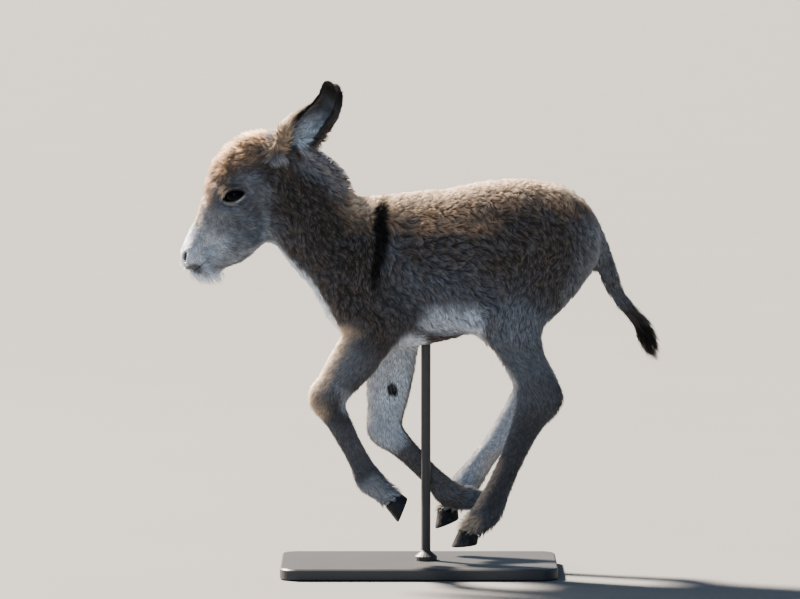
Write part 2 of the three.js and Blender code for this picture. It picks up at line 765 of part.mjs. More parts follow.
for (const leg of legs) {
  const [, top, knee, fetlock, coronet] = leg.joints;
  const bend = (before, joint, after) => ({
    at: joint,
    back: add(unit(sub(joint, before)), unit(sub(after, joint))),
  });
  const kneePlane = bend(top, knee, fetlock);
  const fetlockPlane = bend(knee, fetlock, coronet);
  const limb = legField(leg);
  const upper = leg.fore ? "forearm" : "gaskin";
  const [a, b, c] = leg.leans;
  const cell = [9.5, 10, 17];
  piece(`${leg.name}_${upper}`, cutOut(withLeg(leg), [stubOf(leg), ahead(kneePlane)], cell, -a), "coat");
  piece(`${leg.name}_cannon`, cutOut(limb, [flipped(kneePlane), ahead(fetlockPlane)], cell, -b), "coat");
  piece(
    `${leg.name}_pastern`,
    cutOut(limb, [flipped(fetlockPlane), ahead(coronetPlane(leg))], [9, 9, 11], -c),
    "coat",
  );
  piece(`hoof_${leg.name}`, solidOf(hoofGeometry().applyMatrix4(hoofMatrix(leg))), "hoof");
}

// An ear: a leaf of skin and fur, rolled into a tube at its root and opening out to a shallow cup. Its frame
// has z along the ear, y the way that its tip opens and x across. Its root opens further to the back, by
// EAR.twist.
const EAR_STEPS = 10;
const EAR_TURNS = 8;

// [share of the length, half width of the leaf, sway to the back]
const EAR_PROFILE = [
  [0, 12, 0],
  [0.12, 20, 4],
  [0.28, 33, 10],
  [0.46, 32, 15],
  [0.64, 24, 21],
  [0.76, 20, 22],
  [0.87, 18, 16],
  [0.95, 16, 9],
  [0.985, 10, 5],
  [1, 4.5, 3],
];

// The rows of an ear lie closer together towards its round tip
const earShare = (row) => Math.sin(((Math.PI / 2) * row) / EAR_STEPS);

function between(table, t) {
  const i = Math.max(1, table.findIndex(([share]) => share >= t));
  const [a, b] = [table[i - 1], table[i]];
  return a.map((v, k) => mix(v, b[k], (t - a[0]) / (b[0] - a[0])));
}

function earPoint(side, t, s, outer) {
  const [, wide, sway] = between(EAR_PROFILE, t);
  const roll = radians(mix(...EAR.roll, t ** 0.9));
  const thick = mix(...EAR.thick, t) * Math.sqrt(1 - 0.96 * t ** 8);
  const half = (outer ? thick : -thick) * Math.min(1, wide / 8);
  const radius = wide / Math.sin(Math.min(roll, Math.PI / 2)) + half;
  const turn = roll * s - side * radians(EAR.twist) * (1 - THREE.MathUtils.smoothstep(t, 0.05, 0.8));
  const end = t === 1 ? (outer ? 1.5 : -1.5) : 0;
  const across = Math.max(0.3, radius) * Math.sin(turn);
  return [across + side * sway, -EAR.flat * radius * Math.cos(turn), EAR.long * t + end];
}

function earGeometry(side) {
  const points = [];
  const grid = [true, false].map((outer) =>
    [...Array(EAR_STEPS + 1).keys()].map((i) =>
      [...Array(EAR_TURNS + 1).keys()].map((j) => {
        points.push(earPoint(side, earShare(i), (2 * j) / EAR_TURNS - 1, outer));
        return points.length - 1;
      }),
    ),
  );
  const faces = [];
  const strip = (a, b, c, d) => faces.push(a, b, c, a, c, d);
  const [out, inn] = grid;
  for (let i = 0; i < EAR_STEPS; i++) {
    for (let j = 0; j < EAR_TURNS; j++) {
      strip(out[i][j], out[i][j + 1], out[i + 1][j + 1], out[i + 1][j]);
      strip(inn[i][j], inn[i + 1][j], inn[i + 1][j + 1], inn[i][j + 1]);
    }
    strip(out[i][0], out[i + 1][0], inn[i + 1][0], inn[i][0]);
    strip(out[i][EAR_TURNS], inn[i][EAR_TURNS], inn[i + 1][EAR_TURNS], out[i + 1][EAR_TURNS]);
  }
  for (let j = 0; j < EAR_TURNS; j++) {
    strip(out[0][j], inn[0][j], inn[0][j + 1], out[0][j + 1]);
    strip(out[EAR_STEPS][j], out[EAR_STEPS][j + 1], inn[EAR_STEPS][j + 1], inn[EAR_STEPS][j]);
  }
  return surface(points, faces);
}

// Which way each ear points and opens
const EARS = [
  { name: "ear_left", side: -1, along: [0.569, -0.148, 0.808], open: [0.5, -0.85, 0] },
  { name: "ear_right", side: 1, along: [0.646, 0.143, 0.752], open: [0.5, 0.85, 0] },
];

// The same solid with its surface moved outwards.
function grown(solid, by) {
  const geometry = geometryOf(solid);
  const p = geometry.attributes.position;
  const n = geometry.attributes.normal;
  for (let i = 0; i < p.count; i++) {
    p.setXYZ(i, p.getX(i) + by * n.getX(i), p.getY(i) + by * n.getY(i), p.getZ(i) + by * n.getZ(i));
  }
  return solidOf(geometry);
}

for (const ear of EARS) {
  const z = unit(ear.along);
  const x = unit(cross(ear.open, z));
  const matrix = new THREE.Matrix4().makeBasis(
    new THREE.Vector3(...x),
    new THREE.Vector3(...cross(z, x)),
    new THREE.Vector3(...z),
  );
  matrix.setPosition(...mirrored(EAR.root, ear.side));
  const leaf = solidOf(earGeometry(ear.side).applyMatrix4(matrix));
  const seats = [grown(headSolid, GAP), grown(neckSolid, GAP), neckSolid.translate([0, 0, 2 * GAP])];
  piece(ear.name, largest(seats.reduce((solid, seat) => solid.subtract(seat), leaf)), "ear");
}

// The stand
function plate({ long, wide, thick, corner, edge }) {
  const shape = new THREE.Shape();
  const [x, y] = [long / 2 - edge, wide / 2 - edge];
  shape.moveTo(-x + corner, -y);
  for (const [cx, cy, start] of [[1, -1, -90], [1, 1, 0], [-1, 1, 90], [-1, -1, 180]]) {
    shape.absarc(cx * (x - corner), cy * (y - corner), corner, radians(start), radians(start + 90));
  }
  return new THREE.ExtrudeGeometry(shape, {
    depth: thick - 2 * edge,
    bevelThickness: edge,
    bevelSize: edge,
    bevelSegments: 1,
    curveSegments: 4,
  }).translate(0, 0, edge);
}
piece("stand_base", solidOf(plate(BASE)), "stand");

const collarFoot = BASE.thick + GAP;
const rodProfile = [
  [0, collarFoot],
  [ROD.collar, collarFoot],
  [ROD.collar, collarFoot + ROD.collarHigh * 0.5],
  [ROD.radius + 2, collarFoot + ROD.collarHigh],
  [ROD.radius, collarFoot + ROD.collarHigh + 3],
  [ROD.radius, ROD.top],
  [0, ROD.top],
].map(([r, z]) => new THREE.Vector2(r, z));
const rod = solidOf(new THREE.LatheGeometry(rodProfile, 20).rotateX(Math.PI / 2).translate(ROD.x, 0, 0));
piece("stand_rod", rod.subtract(grown(trunkSolid, GAP)), "stand");

export default model;
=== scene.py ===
"""A donkey foal at a gallop, on its display stand: the looks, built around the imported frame.

Metres, +Z up. The foal heads along -X and its left side is towards -Y. One skin stands for all its flesh, and
solid tufts of coat lie over the skin. What both share, such as the markings and the lie of the coat, is
worked out from a point of the skin by the tables GUIDES and MARKS.
"""

import math
from contextlib import contextmanager

import bpy
import numpy as np
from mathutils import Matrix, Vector
from mathutils.kdtree import KDTree


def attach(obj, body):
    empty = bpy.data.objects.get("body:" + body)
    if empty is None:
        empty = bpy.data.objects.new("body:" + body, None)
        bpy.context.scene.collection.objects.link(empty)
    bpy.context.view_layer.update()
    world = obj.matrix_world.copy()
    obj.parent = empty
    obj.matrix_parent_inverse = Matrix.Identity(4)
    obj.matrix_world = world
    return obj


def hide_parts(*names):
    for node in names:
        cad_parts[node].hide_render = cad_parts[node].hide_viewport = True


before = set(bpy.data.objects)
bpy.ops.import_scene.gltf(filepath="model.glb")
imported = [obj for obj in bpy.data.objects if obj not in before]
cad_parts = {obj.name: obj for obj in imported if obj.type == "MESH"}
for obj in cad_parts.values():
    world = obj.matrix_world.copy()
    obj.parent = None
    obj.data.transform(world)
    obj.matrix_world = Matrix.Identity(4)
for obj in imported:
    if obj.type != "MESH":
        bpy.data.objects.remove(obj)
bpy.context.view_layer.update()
MM = 0.001
DICE = np.random.default_rng(11)

# ---- The foal's landmarks, in metres ----

LEGS = {  # the joints from the top of each leg to its hoof
    "foreleg_left": [(-.056, -.056, .439), (-.157, -.05, .302), (-.085, -.044, .163), (-.044, -.043, .128)],
    "foreleg_right": [(-.04, .056, .411), (-.059, .045, .242), (.051, .033, .131), (.104, .032, .118)],
    "hindleg_left": [(.148, -.058, .443), (.204, -.06, .305), (.117, -.058, .11), (.085, -.058, .075)],
    "hindleg_right": [(.144, .06, .449), (.2, .064, .311), (.077, .074, .138), (.05, .076, .098)],
}
TAIL = [(.29, 0, .59), (.312, 0, .538), (.339, 0, .473), (.374, 0, .429), (.4, 0, .375)]
# The ball and the opening between the lids: half its width, its heights over and under the line that joins
# its corners, and how far that line tilts, in degrees.
EYE = {"at": (-.311, .0345, .6445), "radius": .0178, "half": .0196, "up": .0096, "down": .0088, "tilt": 18}
EYE_MIDDLE = (-.313, .051, .6445)  # on the skin, midway between the corners
EARS = {  # root, direction of its length, direction that it opens to
    "ear_left": ((-.241, -.03, .711), (.569, -.148, .808), (.5, -.85, 0)),
    "ear_right": ((-.241, .03, .711), (.646, .143, .752), (.5, .85, 0)),
}
EAR_LONG = .158
EAR_ROLL = (150, 58)  # half the angle that an ear wraps round its hollow, in degrees, at its root and tip
EAR_TWIST, EAR_FLAT = 35, .62  # degrees at the root; depth of its round as a share of its width
NOSTRIL = {"at": (-.3945, .0185, .541), "half": (.0105, .006), "deep": .014, "bend": 22}
MOUTH = {"front": (-.389, .509), "corner": (-.355, .538), "deep": .0026}  # x and z of its ends
MUZZLE_FRONT = (-.388, 0, .532)


# ---- Small tools ----

def unit(v):
    v = np.asarray(v, float)
    return v / np.maximum(np.linalg.norm(v, axis=-1, keepdims=True), 1e-9)


def ramp(x, low, high):
    """0 below low, 1 above high, and a smooth step in between."""
    t = np.clip((x - low) / (high - low), 0, 1)
    return t * t * (3 - 2 * t)


def dot(a, b):
    return (a * b).sum(-1)


def share_along(points, start, end):
    """How far along a segment each point lies, from 0 to 1, and how far off it."""
    start, end = np.array(start), np.array(end)
    way = end - start
    t = np.clip((points - start) @ way / max(way @ way, 1e-9), 0, 1)
    return t, np.linalg.norm(points - start - t[:, None] * way, axis=1)


def noise(points, size, seed):
    """Smooth noise from -1 to 1 with bumps of a size, the same for the same point."""
    cell = points / size + seed * 17.31
    low = np.floor(cell).astype(np.int64)
    part = cell - low
    part = part * part * (3 - 2 * part)
    total = 0
    for corner in np.ndindex(2, 2, 2):
        x, y, z = (low + corner).T
        code = (x * 73856093) ^ (y * 19349663) ^ (z * 83492791) ^ (seed * 2654435761)
        code = (code ^ (code >> 13)) * 1274126177 & 0xFFFFFFFF
        weight = np.prod(np.where(corner, part, 1 - part), axis=1)
        total = total + weight * ((code >> 8 & 0xFFFF) / 32767.5 - 1)
    return total


def one_side(points):
    """The same places with both sides laid on the side of +Y."""
    return np.stack([points[:, 0], np.abs(points[:, 1]), points[:, 2]], 1)


def deselect():
    bpy.ops.object.select_all(action="DESELECT")


def pick(obj):
    """Makes obj the only selected object."""
    deselect()
    obj.select_set(True)
    bpy.context.view_layer.objects.active = obj


def modify(obj, kind, **settings):
    """Puts a modifier on obj and applies it."""
    pick(obj)
    modifier = obj.modifiers.new(kind.lower(), kind)
    for name, value in settings.items():
        setattr(modifier, name, value)
    bpy.ops.object.modifier_apply(modifier=modifier.name)


@contextmanager
def edit_mode(obj):
    """Opens obj in edit mode with all of it selected."""
    pick(obj)
    bpy.ops.object.mode_set(mode="EDIT")
    bpy.ops.mesh.select_all(action="SELECT")
    yield
    bpy.ops.object.mode_set(mode="OBJECT")


def read(items, key, width, kind=np.float32):
    """One property of all of a mesh's parts of a kind, as a row for each."""
    flat = np.empty(len(items) * width, kind)
    items.foreach_get(key, flat)
    return flat.reshape(-1, width)


def places(mesh):
    return read(mesh.vertices, "co", 3).astype(float)


def put_places(mesh, points):
    mesh.vertices.foreach_set("co", points.astype(np.float32).ravel())
    mesh.update()


def normals(mesh):
    return read(mesh.vertex_normals, "vector", 3).astype(float)


def put_value(mesh, name, values):
    """A number for each vertex, which the materials read by its name."""
    layer = mesh.attributes.get(name) or mesh.attributes.new(name, "FLOAT", "POINT")
    layer.data.foreach_set("value", values.astype(np.float32))


def merged_copy(node):
    """A copy of a CAD node, with its doubled vertices merged."""
    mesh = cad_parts[node].data.copy()
    mesh.materials.clear()
    copy = bpy.data.objects.new(node + "_copy", mesh)
    bpy.context.scene.collection.objects.link(copy)
    with edit_mode(copy):
        bpy.ops.mesh.remove_doubles(threshold=1e-5)
    return copy


def joined(objects, name):
    pick(objects[0])
    for obj in objects:
        obj.select_set(True)
    if len(objects) > 1:
        bpy.ops.object.join()
    whole = bpy.context.view_layer.objects.active
    whole.name = whole.data.name = name
    return whole


def finished(obj, material, slot, *nodes):
    """Gives a piece its material and body, and hides the nodes that it stands for. Its slot is not used."""
    obj.data.materials.clear()
    obj.data.materials.append(material)
    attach(obj, "root")
    if nodes:
        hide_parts(*nodes)
    return obj


# ---- The lie of the coat ----

# Each guide is a line along the body, in millimetres. Coat near it runs from its start to its end and takes
# its numbers: reach, droop (how much it also runs downwards), depth under the coat's tips, length and width
# of a tuft and the spacing of tufts, then lift in degrees and curl. Lines off the middle count for both
# sides.
GUIDES = [
    # region, start, end, reach, droop, depth, length, width, spacing, lift, curl
    ("head", (-275, 0, 742), (-322, 0, 690), 30, 0, 6, 12, 1.3, 1.5, 46, .8),  # forehead
    ("head", (-328, 0, 680), (-348, 0, 640), 24, 0, 4, 10, 1.2, 1.45, 42, .7),
    ("head", (-245, 30, 728), (-285, 46, 700), 20, 0, 5, 15, 1.4, 1.8, 34, .8),  # below the ear
    ("head", (-240, 0, 738), (-275, 0, 745), 20, 0, 6, 17, 1.4, 1.8, 46, .8),  # forelock
    ("head", (-348, 0, 640), (-388, 0, 575), 24, 0, 2.5, 7, 1.0, 1.4, 32, .4),  # nose
    ("head", (-300, 50, 668), (-262, 42, 690), 22, 0, 4, 10, 1.2, 1.6, 34, .5),  # temple
    ("head", (-330, 40, 630), (-352, 34, 590), 22, 0, 1.8, 5, .9, 1.3, 16, .1),  # under the eye
    ("head", (-322, 48, 642), (-292, 52, 649), 13, 0, 1.2, 3.6, .65, 1.0, 12, 0),  # lids
    ("head", (-310, 40, 600), (-262, 38, 630), 30, .6, 4, 9, 1.1, 1.5, 26, .3),  # cheek
    ("head", (-355, 26, 548), (-285, 30, 565), 24, 0, 3.2, 8, 1.1, 1.5, 26, .2),  # jaw
    ("head", (-372, 20, 570), (-395, 16, 535), 20, 0, 1.2, 3.6, .75, 1.15, 16, 0),  # muzzle
    ("head", (-386, 4, 506), (-350, 8, 502), 11, 0, 5, 11, .9, 1.5, 50, .6),  # chin
    ("neck", (-205, 0, 728), (-125, 0, 670), 16, 0, 4, 13, 1.4, 1.7, 58, .4),  # mane
    ("neck", (-235, 22, 715), (-120, 34, 625), 30, .1, 8, 17, 1.4, 2.0, 34, .4),  # beside the mane
    ("neck", (-225, 36, 670), (-120, 56, 560), 46, .35, 7, 15, 1.4, 2.1, 24, .4),  # side of the neck
    ("neck", (-235, 10, 620), (-150, 18, 490), 36, 0, 7, 15, 1.4, 2.1, 28, .4),  # throat
    ("trunk", (-90, 0, 610), (240, 0, 665), 44, 0, 7, 15, 1.4, 2.0, 38, .5),  # back
    ("trunk", (-95, 55, 580), (-60, 70, 450), 46, 0, 7, 14, 1.5, 2.1, 24, .4),  # shoulder
    ("trunk", (-20, 78, 570), (190, 80, 590), 50, .6, 8, 16, 1.5, 2.1, 27, .55),  # ribs
    ("trunk", (-20, 66, 480), (120, 70, 490), 50, 1.1, 8, 16, 1.5, 2.15, 25, .5),  # low ribs
    ("trunk", (-60, 10, 405), (130, 10, 430), 36, 0, 7, 16, 1.5, 2.2, 30, .5),  # belly
    ("trunk", (-165, 0, 520), (-120, 0, 420), 40, 0, 6, 14, 1.4, 2.0, 30, .35),  # breast
    ("trunk", (200, 50, 640), (275, 40, 560), 46, .3, 7, 14, 1.4, 2.0, 32, .4),  # rump
    ("trunk", (215, 75, 560), (165, 75, 440), 48, 0, 6, 12, 1.4, 2.0, 21, .3),  # thigh
    ("trunk", (285, 30, 560), (262, 35, 470), 36, 0, 6, 12, 1.4, 2.0, 26, .3),  # buttock
]
LEG_COAT = {  # depth, length, width, spacing, lift and curl, from the top of a leg to its hoof
    "foreleg": [(4, 9, 1.2, 1.9, 20, .25), (2.6, 7, 1.0, 1.75, 18, .15), (3.5, 11, 1.1, 1.7, 35, .5)],
    "hindleg": [(4.5, 10, 1.2, 1.95, 20, .3), (2.8, 7.5, 1.0, 1.8, 20, .25), (3.5, 12.5, 1.1, 1.7, 39, .6)],
}
LEG_REACH = (34, 22, 20)
TAIL_COAT = [(3, 11, 1.3, 1.8, 24, .2), (3.5, 14, 1.3, 1.7, 24, .2), (6, 24, 1.2, 1.6, 13, .3),
             (8, 37, 1.2, 1.5, 16, .4)]
TAIL_REACH = (24,) * len(TAIL_COAT)
EAR_CUTS = (.12, .34, .62, 1)  # shares of its length where one row of EAR_COAT ends and the next starts
EAR_COAT = [(1.5, 14, 1.2, 1.6, 44, .6), (1.3, 8, 1.0, 1.4, 28, .4), (1.1, 4, .8, 1.25, 17, .1)]
EAR_REACH = (22,) * len(EAR_COAT)


def guide_chain(region, joints, reaches, table):
    """A guide from each joint to the next."""
    return [(region, np.array(start), np.array(end), reach, 0, numbers)
            for start, end, reach, numbers in zip(joints, joints[1:], reaches, table)]


def guide_table():
    """Every guide as (region, start, end, reach, droop, its six other numbers)."""
    rows = []
    for region, start, end, reach, droop, *numbers in GUIDES:
        for side in ((1, -1) if start[1] or end[1] else (1,)):
            turn = np.array((1, side, 1)) * MM
            rows.append((region, np.array(start) * turn, np.array(end) * turn, reach, droop, numbers))
    for leg, joints in LEGS.items():
        rows += guide_chain(leg, joints, LEG_REACH, LEG_COAT[leg.split("_")[0]])
    rows += guide_chain("tail", TAIL, TAIL_REACH, TAIL_COAT)
    for ear, (root, way, _) in EARS.items():
        cuts = [np.array(root) + unit(way) * EAR_LONG * share for share in EAR_CUTS]
        rows += guide_chain(ear, cuts, EAR_REACH, EAR_COAT)
    return rows


GUIDE_ROWS = guide_table()
REGIONS = [row[0] for row in GUIDE_ROWS]
OF_LEG = [i for i, region in enumerate(REGIONS) if region in LEGS]


def coat_at(points, facing):
    """For points of the skin: the strongest guide, the lie of the coat, the blended numbers, and how much
    of them comes from the guides of the legs."""
    weights = []
    for _, start, end, reach, *_ in GUIDE_ROWS:
        _, off = share_along(points, start, end)
        weights.append(np.exp(-2.2 * (off / (reach * MM)) ** 1.5))
    weights = np.array(weights).T + 1e-12
    best = weights.argmax(1)
    weights = weights ** 1.5
    weights /= weights.sum(1, keepdims=True)
    ways = np.array([unit(row[2] - row[1]) + np.array((0, 0, -row[4])) for row in GUIDE_ROWS])
    lie = weights @ unit(ways)
    lie = unit(lie - facing * dot(lie, facing)[:, None])
    numbers = weights @ np.array([row[5] for row in GUIDE_ROWS], float)
    return best, lie, numbers, weights[:, OF_LEG].sum(1)


# ---- Markings ----

def near_line(points, start, end, radius, fade):
    """1 within radius of a line, and 0 further off than radius and fade. Counts for both sides."""
    return 1 - ramp(share_along(one_side(points), start, end)[1], radius, radius + fade)


# Each marking is a set of lines along the body, in millimetres: start, end, radius and fade, then strength.
MARKS = {
    "pale": [
        (-400, 0, 560, -385, 0, 520, 26, 34, 1),  # muzzle
        (-380, 0, 560, -350, 15, 560, 10, 46, .8),
        (-378, 4, 508, -345, 10, 510, 8, 12, 1),  # chin
        (-309, 52, 633.5, -294, 52, 648, .8, 2, .9),  # edge of the lower lid
        (-328, 48, 630, -314, 50, 628, 4, 10, .26),  # below the eye
        (-334, 46, 614, -326, 46, 604, 6, 14, .2),
        (-292, 52, 664, -270, 46, 650, 10, 24, .16),  # temple
        (-335, 40, 612, -288, 44, 590, 16, 50, .13),  # cheek
        (-352, 34, 590, -325, 38, 560, 16, 50, .22),
        (-264, 30, 625, -264, 30, 575, 3, 12, .46),  # back of the cheek
        (-330, 10, 540, -250, 8, 566, 8, 18, .5),  # under the jaw
        (-235, 0, 550, -195, 0, 505, 14, 12, .95),  # throat
        (-195, 0, 505, -150, 0, 450, 23, 12, 1),  # breast
        (-150, 0, 450, -105, 0, 398, 31, 14, 1),
        (32, 60, 436, 86, 60, 438, 14, 28, .7),  # belly
        (-80, 10, 395, -20, 10, 400, 14, 24, .3),
        (-246, 46, 706, -236, 46, 710, 3, 12, .26),  # foot of the ear
        (-200, 10, 718, -130, 8, 672, 12, 20, .12),  # mane
        (110, 10, 410, 160, 20, 400, 20, 16, .9),  # between the thighs
        (96, 50, 416, 152, 55, 330, 5, 26, .8),  # front of the thigh
        (-30, 20, 420, -52, 22, 310, 30, 18, 1),  # inside of the forearms
        (-132, 52, 318, -126, 50, 292, 6, 20, .5),  # hollow behind the knee
        (157, 76, 300, 162, 78, 262, 2, 8, .45),  # front of the hock
        (-125, 60, 380, -150, 58, 330, 14, 30, .14),  # outside of the forearm
        (290, 26, 575, 262, 36, 480, 14, 40, .16),  # buttock
        (165, 72, 420, 185, 62, 330, 30, 40, .1),  # gaskin
        (-83, 44, 150, -50, 43, 130, 14, 16, .35),  # fetlock
        (362, 0, 480, 404, 0, 412, 5, 12, .16),  # back of the tail
    ],
    # Beige hair, partly real colour and partly painted sunlight that brightens parts as if the sun were on
    # them.
    "sand_and_sunlit": [
        # Painted sunlight on the ridge before the eye:
        (-331, 47, 656, -334, 46, 648, 4, 5, .8),  # ridge in front of the eye
        (-298, 52, 662, -288, 53, 661, 1, 4, .25),  # above the crease behind it
        (-112, 50, 414, -184, 52, 330, 13, 26, .75),  # front of the forearm
        (-186, 50, 320, -172, 50, 284, 6, 28, .7),  # knee
        # Painted sunlight along the top of the back:
        (-75, 0, 640, 250, 0, 672, 30, 40, .75),  # top of the back
        (-280, 0, 745, -350, 0, 668, 16, 30, .12),  # forehead
        (96, 50, 416, 152, 55, 330, 2, 26, .4),  # front of the thigh
        (90, 60, 94, 70, 58, 56, 10, 18, .5),  # hind fetlock
        (130, 65, 190, 98, 68, 130, 6, 16, .3),
        (-262, 34, 735, -250, 40, 722, 3, 10, .4),  # before the ear
    ],
    # Golden hair, partly real colour and partly painted sunlight on parts that face the sun: the nose, the
    # ridge before the eye, the back and the fronts of the legs.
    "gold_and_sunlit": [
        (-285, 0, 745, -345, 0, 670, 34, 34, 1),  # forehead
        (-350, 0, 655, -378, 0, 600, 12, 20, .8),  # nose
        (-326, 46, 659, -331, 46, 650, 5, 5, 1),  # ridge in front of the eye
        (-250, 0, 745, -130, 0, 660, 8, 20, .35),  # crest
        (-75, 0, 640, 260, 0, 670, 40, 56, 1),  # back
        (230, 0, 650, 290, 0, 560, 24, 36, .5),  # dock
        (0, 60, 606, 110, 70, 608, 8, 30, .75),  # ribs
        (-120, 50, 410, -182, 50, 320, 10, 20, .5),  # forearm and knee
        (-182, 50, 315, -168, 50, 275, 10, 18, .6),
        (-92, 45, 250, -88, 45, 215, 14, 18, .6),
    ],
    "grey": [
        (-345, 30, 600, -280, 30, 580, 20, 50, .8),  # face below the eye
        (-300, 52, 668, -262, 48, 655, 12, 26, .6),  # temple
        (-205, 12, 715, -128, 10, 665, 20, 20, .8),  # mane
        (-20, 66, 470, 80, 70, 460, 30, 60, .7),  # low ribs
        (-46, 70, 610, -52, 78, 530, 6, 14, .8),  # behind the cross
        (-110, 55, 390, -145, 52, 330, 26, 36, .9),  # forearm
        (175, 70, 430, 190, 60, 330, 40, 50, 1),  # gaskin
        (204, 60, 305, 85, 58, 75, 34, 20, .9),  # hind cannon
        (-140, 50, 290, -50, 43, 125, 30, 30, .75),  # fore cannon
        (285, 30, 570, 255, 40, 480, 16, 40, .7),  # buttock
        (290, 10, 580, 345, 0, 470, 30, 30, .6),  # tail
    ],
    "dark": [
        (-215, 44, 655, -110, 60, 540, 20, 50, .75),  # side of the neck
        (-100, 70, 500, -60, 72, 430, 30, 40, .6),  # shoulder
        (180, 90, 565, 220, 85, 540, 40, 60, .45),  # haunch
        (-150, 62, 300, -135, 62, 280, 14, 20, .6),  # side of the knee
        # Painted shade along the middle of the belly:
        (20, 0, 400, 110, 0, 420, 20, 16, .7),  # middle of the belly
        (-262, 40, 730, -236, 46, 724, 3, 7, .7),  # below the ear
        (-250, 50, 690, -215, 44, 692, 4, 10, .5),
        (-236, 45, 690, -232, 45, 600, 8, 22, .55),  # behind the cheek
        (-272, 48, 608, -268, 48, 594, 6, 12, .5),  # hollow of the cheek
        (-300, 50, 626, -290, 50, 624, 3, 8, .4),  # under the eye's outer corner
        (190, 80, 270, 130, 80, 130, 10, 18, .55),  # outside of the hind cannon
        (215, 80, 322, 200, 80, 288, 14, 24, .5),
        (-82, 46, 250, -76, 44, 225, 8, 16, .4),  # front of the right knee
        # Painted shade in the crease behind the eye:
        (-303, 52, 655, -293, 53, 657, 1.4, 3, .9),  # crease behind the eye
        (-293, 53, 657, -283, 53, 650, 1.4, 3, .9),
        # Painted shadow of the fold behind the nostril:
        (-379, 18, 551, -384, 19, 540, 1.5, 4, .45),  # behind the nostril
        (132, 58, 104, 127, 58, 97, 3, 6, .9),  # back of the fetlock
        (236, 60, 318, 230, 60, 290, 6, 10, .6),  # point of the hock
        (366, 0, 438, 400, 0, 370, 22, 24, 1),  # brush of the tail
        # Painted shade in the groove of the hind cannon:
        (192, 80, 300, 150, 78, 180, 4, 10, .5),  # hollow of the hind cannon
    ],
    "black": [
        (-66, 30, 640, -67, 70, 570, 7.5, 8, 1),  # cross on the shoulder
        (-67, 70, 570, -72, 79, 520, 5, 8, 1),
        (-72, 79, 520, -74, 80, 500, 1, 8, .8),
        (-60, 0, 650, -66, 30, 640, 8.5, 8, 1),
        (-45, 27, 317, -44, 27, 310, 7, 4, 1),  # callus inside the forearm
        (-391, 14, 515, -380, 18, 520, 9, 7, .78),  # lips
        # Painted shade filling the nostril's opening:
        (-393, 18, 541, -386, 16.5, 541, 4.5, 3, .9),  # nostril
        (-122, 0, 672, -118, 0, 664, 5, 6, .8),  # end of the mane
        (378, 0, 412, 400, 0, 370, 16, 24, .85),  # brush of the tail
    ],
}
LEG_PALE = {"foreleg": (.85, .12), "hindleg": (.6, .72)}  # inside of each leg, above and below the knee
# Share of an ear's length, and how far its middle line lies off a straight one there.
EAR_SWAY = ((0, 0), (.12, .004), (.28, .01), (.46, .015), (.64, .021), (.76, .022), (.87, .016), (1, .003))


def ear_place(points, facing, ear):
    """For points near an ear: share of its length, distance off its middle line, how far round they lie
    from its back (0) to its front edge (1) or rear edge (-1), and whether they face its hollow (1) or
    outwards (-1)."""
    root, way, opens = (np.array(v) for v in EARS[ear])
    side = -1 if ear == "ear_left" else 1
    long = unit(way)
    across = unit(np.cross(opens, long))
    out = np.cross(long, across)
    share, off = share_along(points, root, root + long * EAR_LONG)
    sway = np.interp(share, *zip(*EAR_SWAY))
    rel = points - root
    x, y = rel @ across - side * sway, rel @ out
    turn = np.arctan2(x, -y / EAR_FLAT) + side * np.radians(EAR_TWIST) * (1 - ramp(share, .05, .8))
    roll = np.radians(EAR_ROLL[0] + (EAR_ROLL[1] - EAR_ROLL[0]) * share ** .9)
    spoke = unit(x[:, None] * across + y[:, None] * out)
    return share, off, -side * turn / roll, -dot(facing, spoke)


def ear_part(points):
    """1 on the ears, 0 elsewhere."""
    found = np.zeros(len(points))
    for root, way, _ in EARS.values():
        share, off = share_along(points, root, np.array(root) + unit(way) * EAR_LONG)
        found = np.maximum(found, ramp(share, .12, .25) * (1 - ramp(off, .045, .055)))
    return found


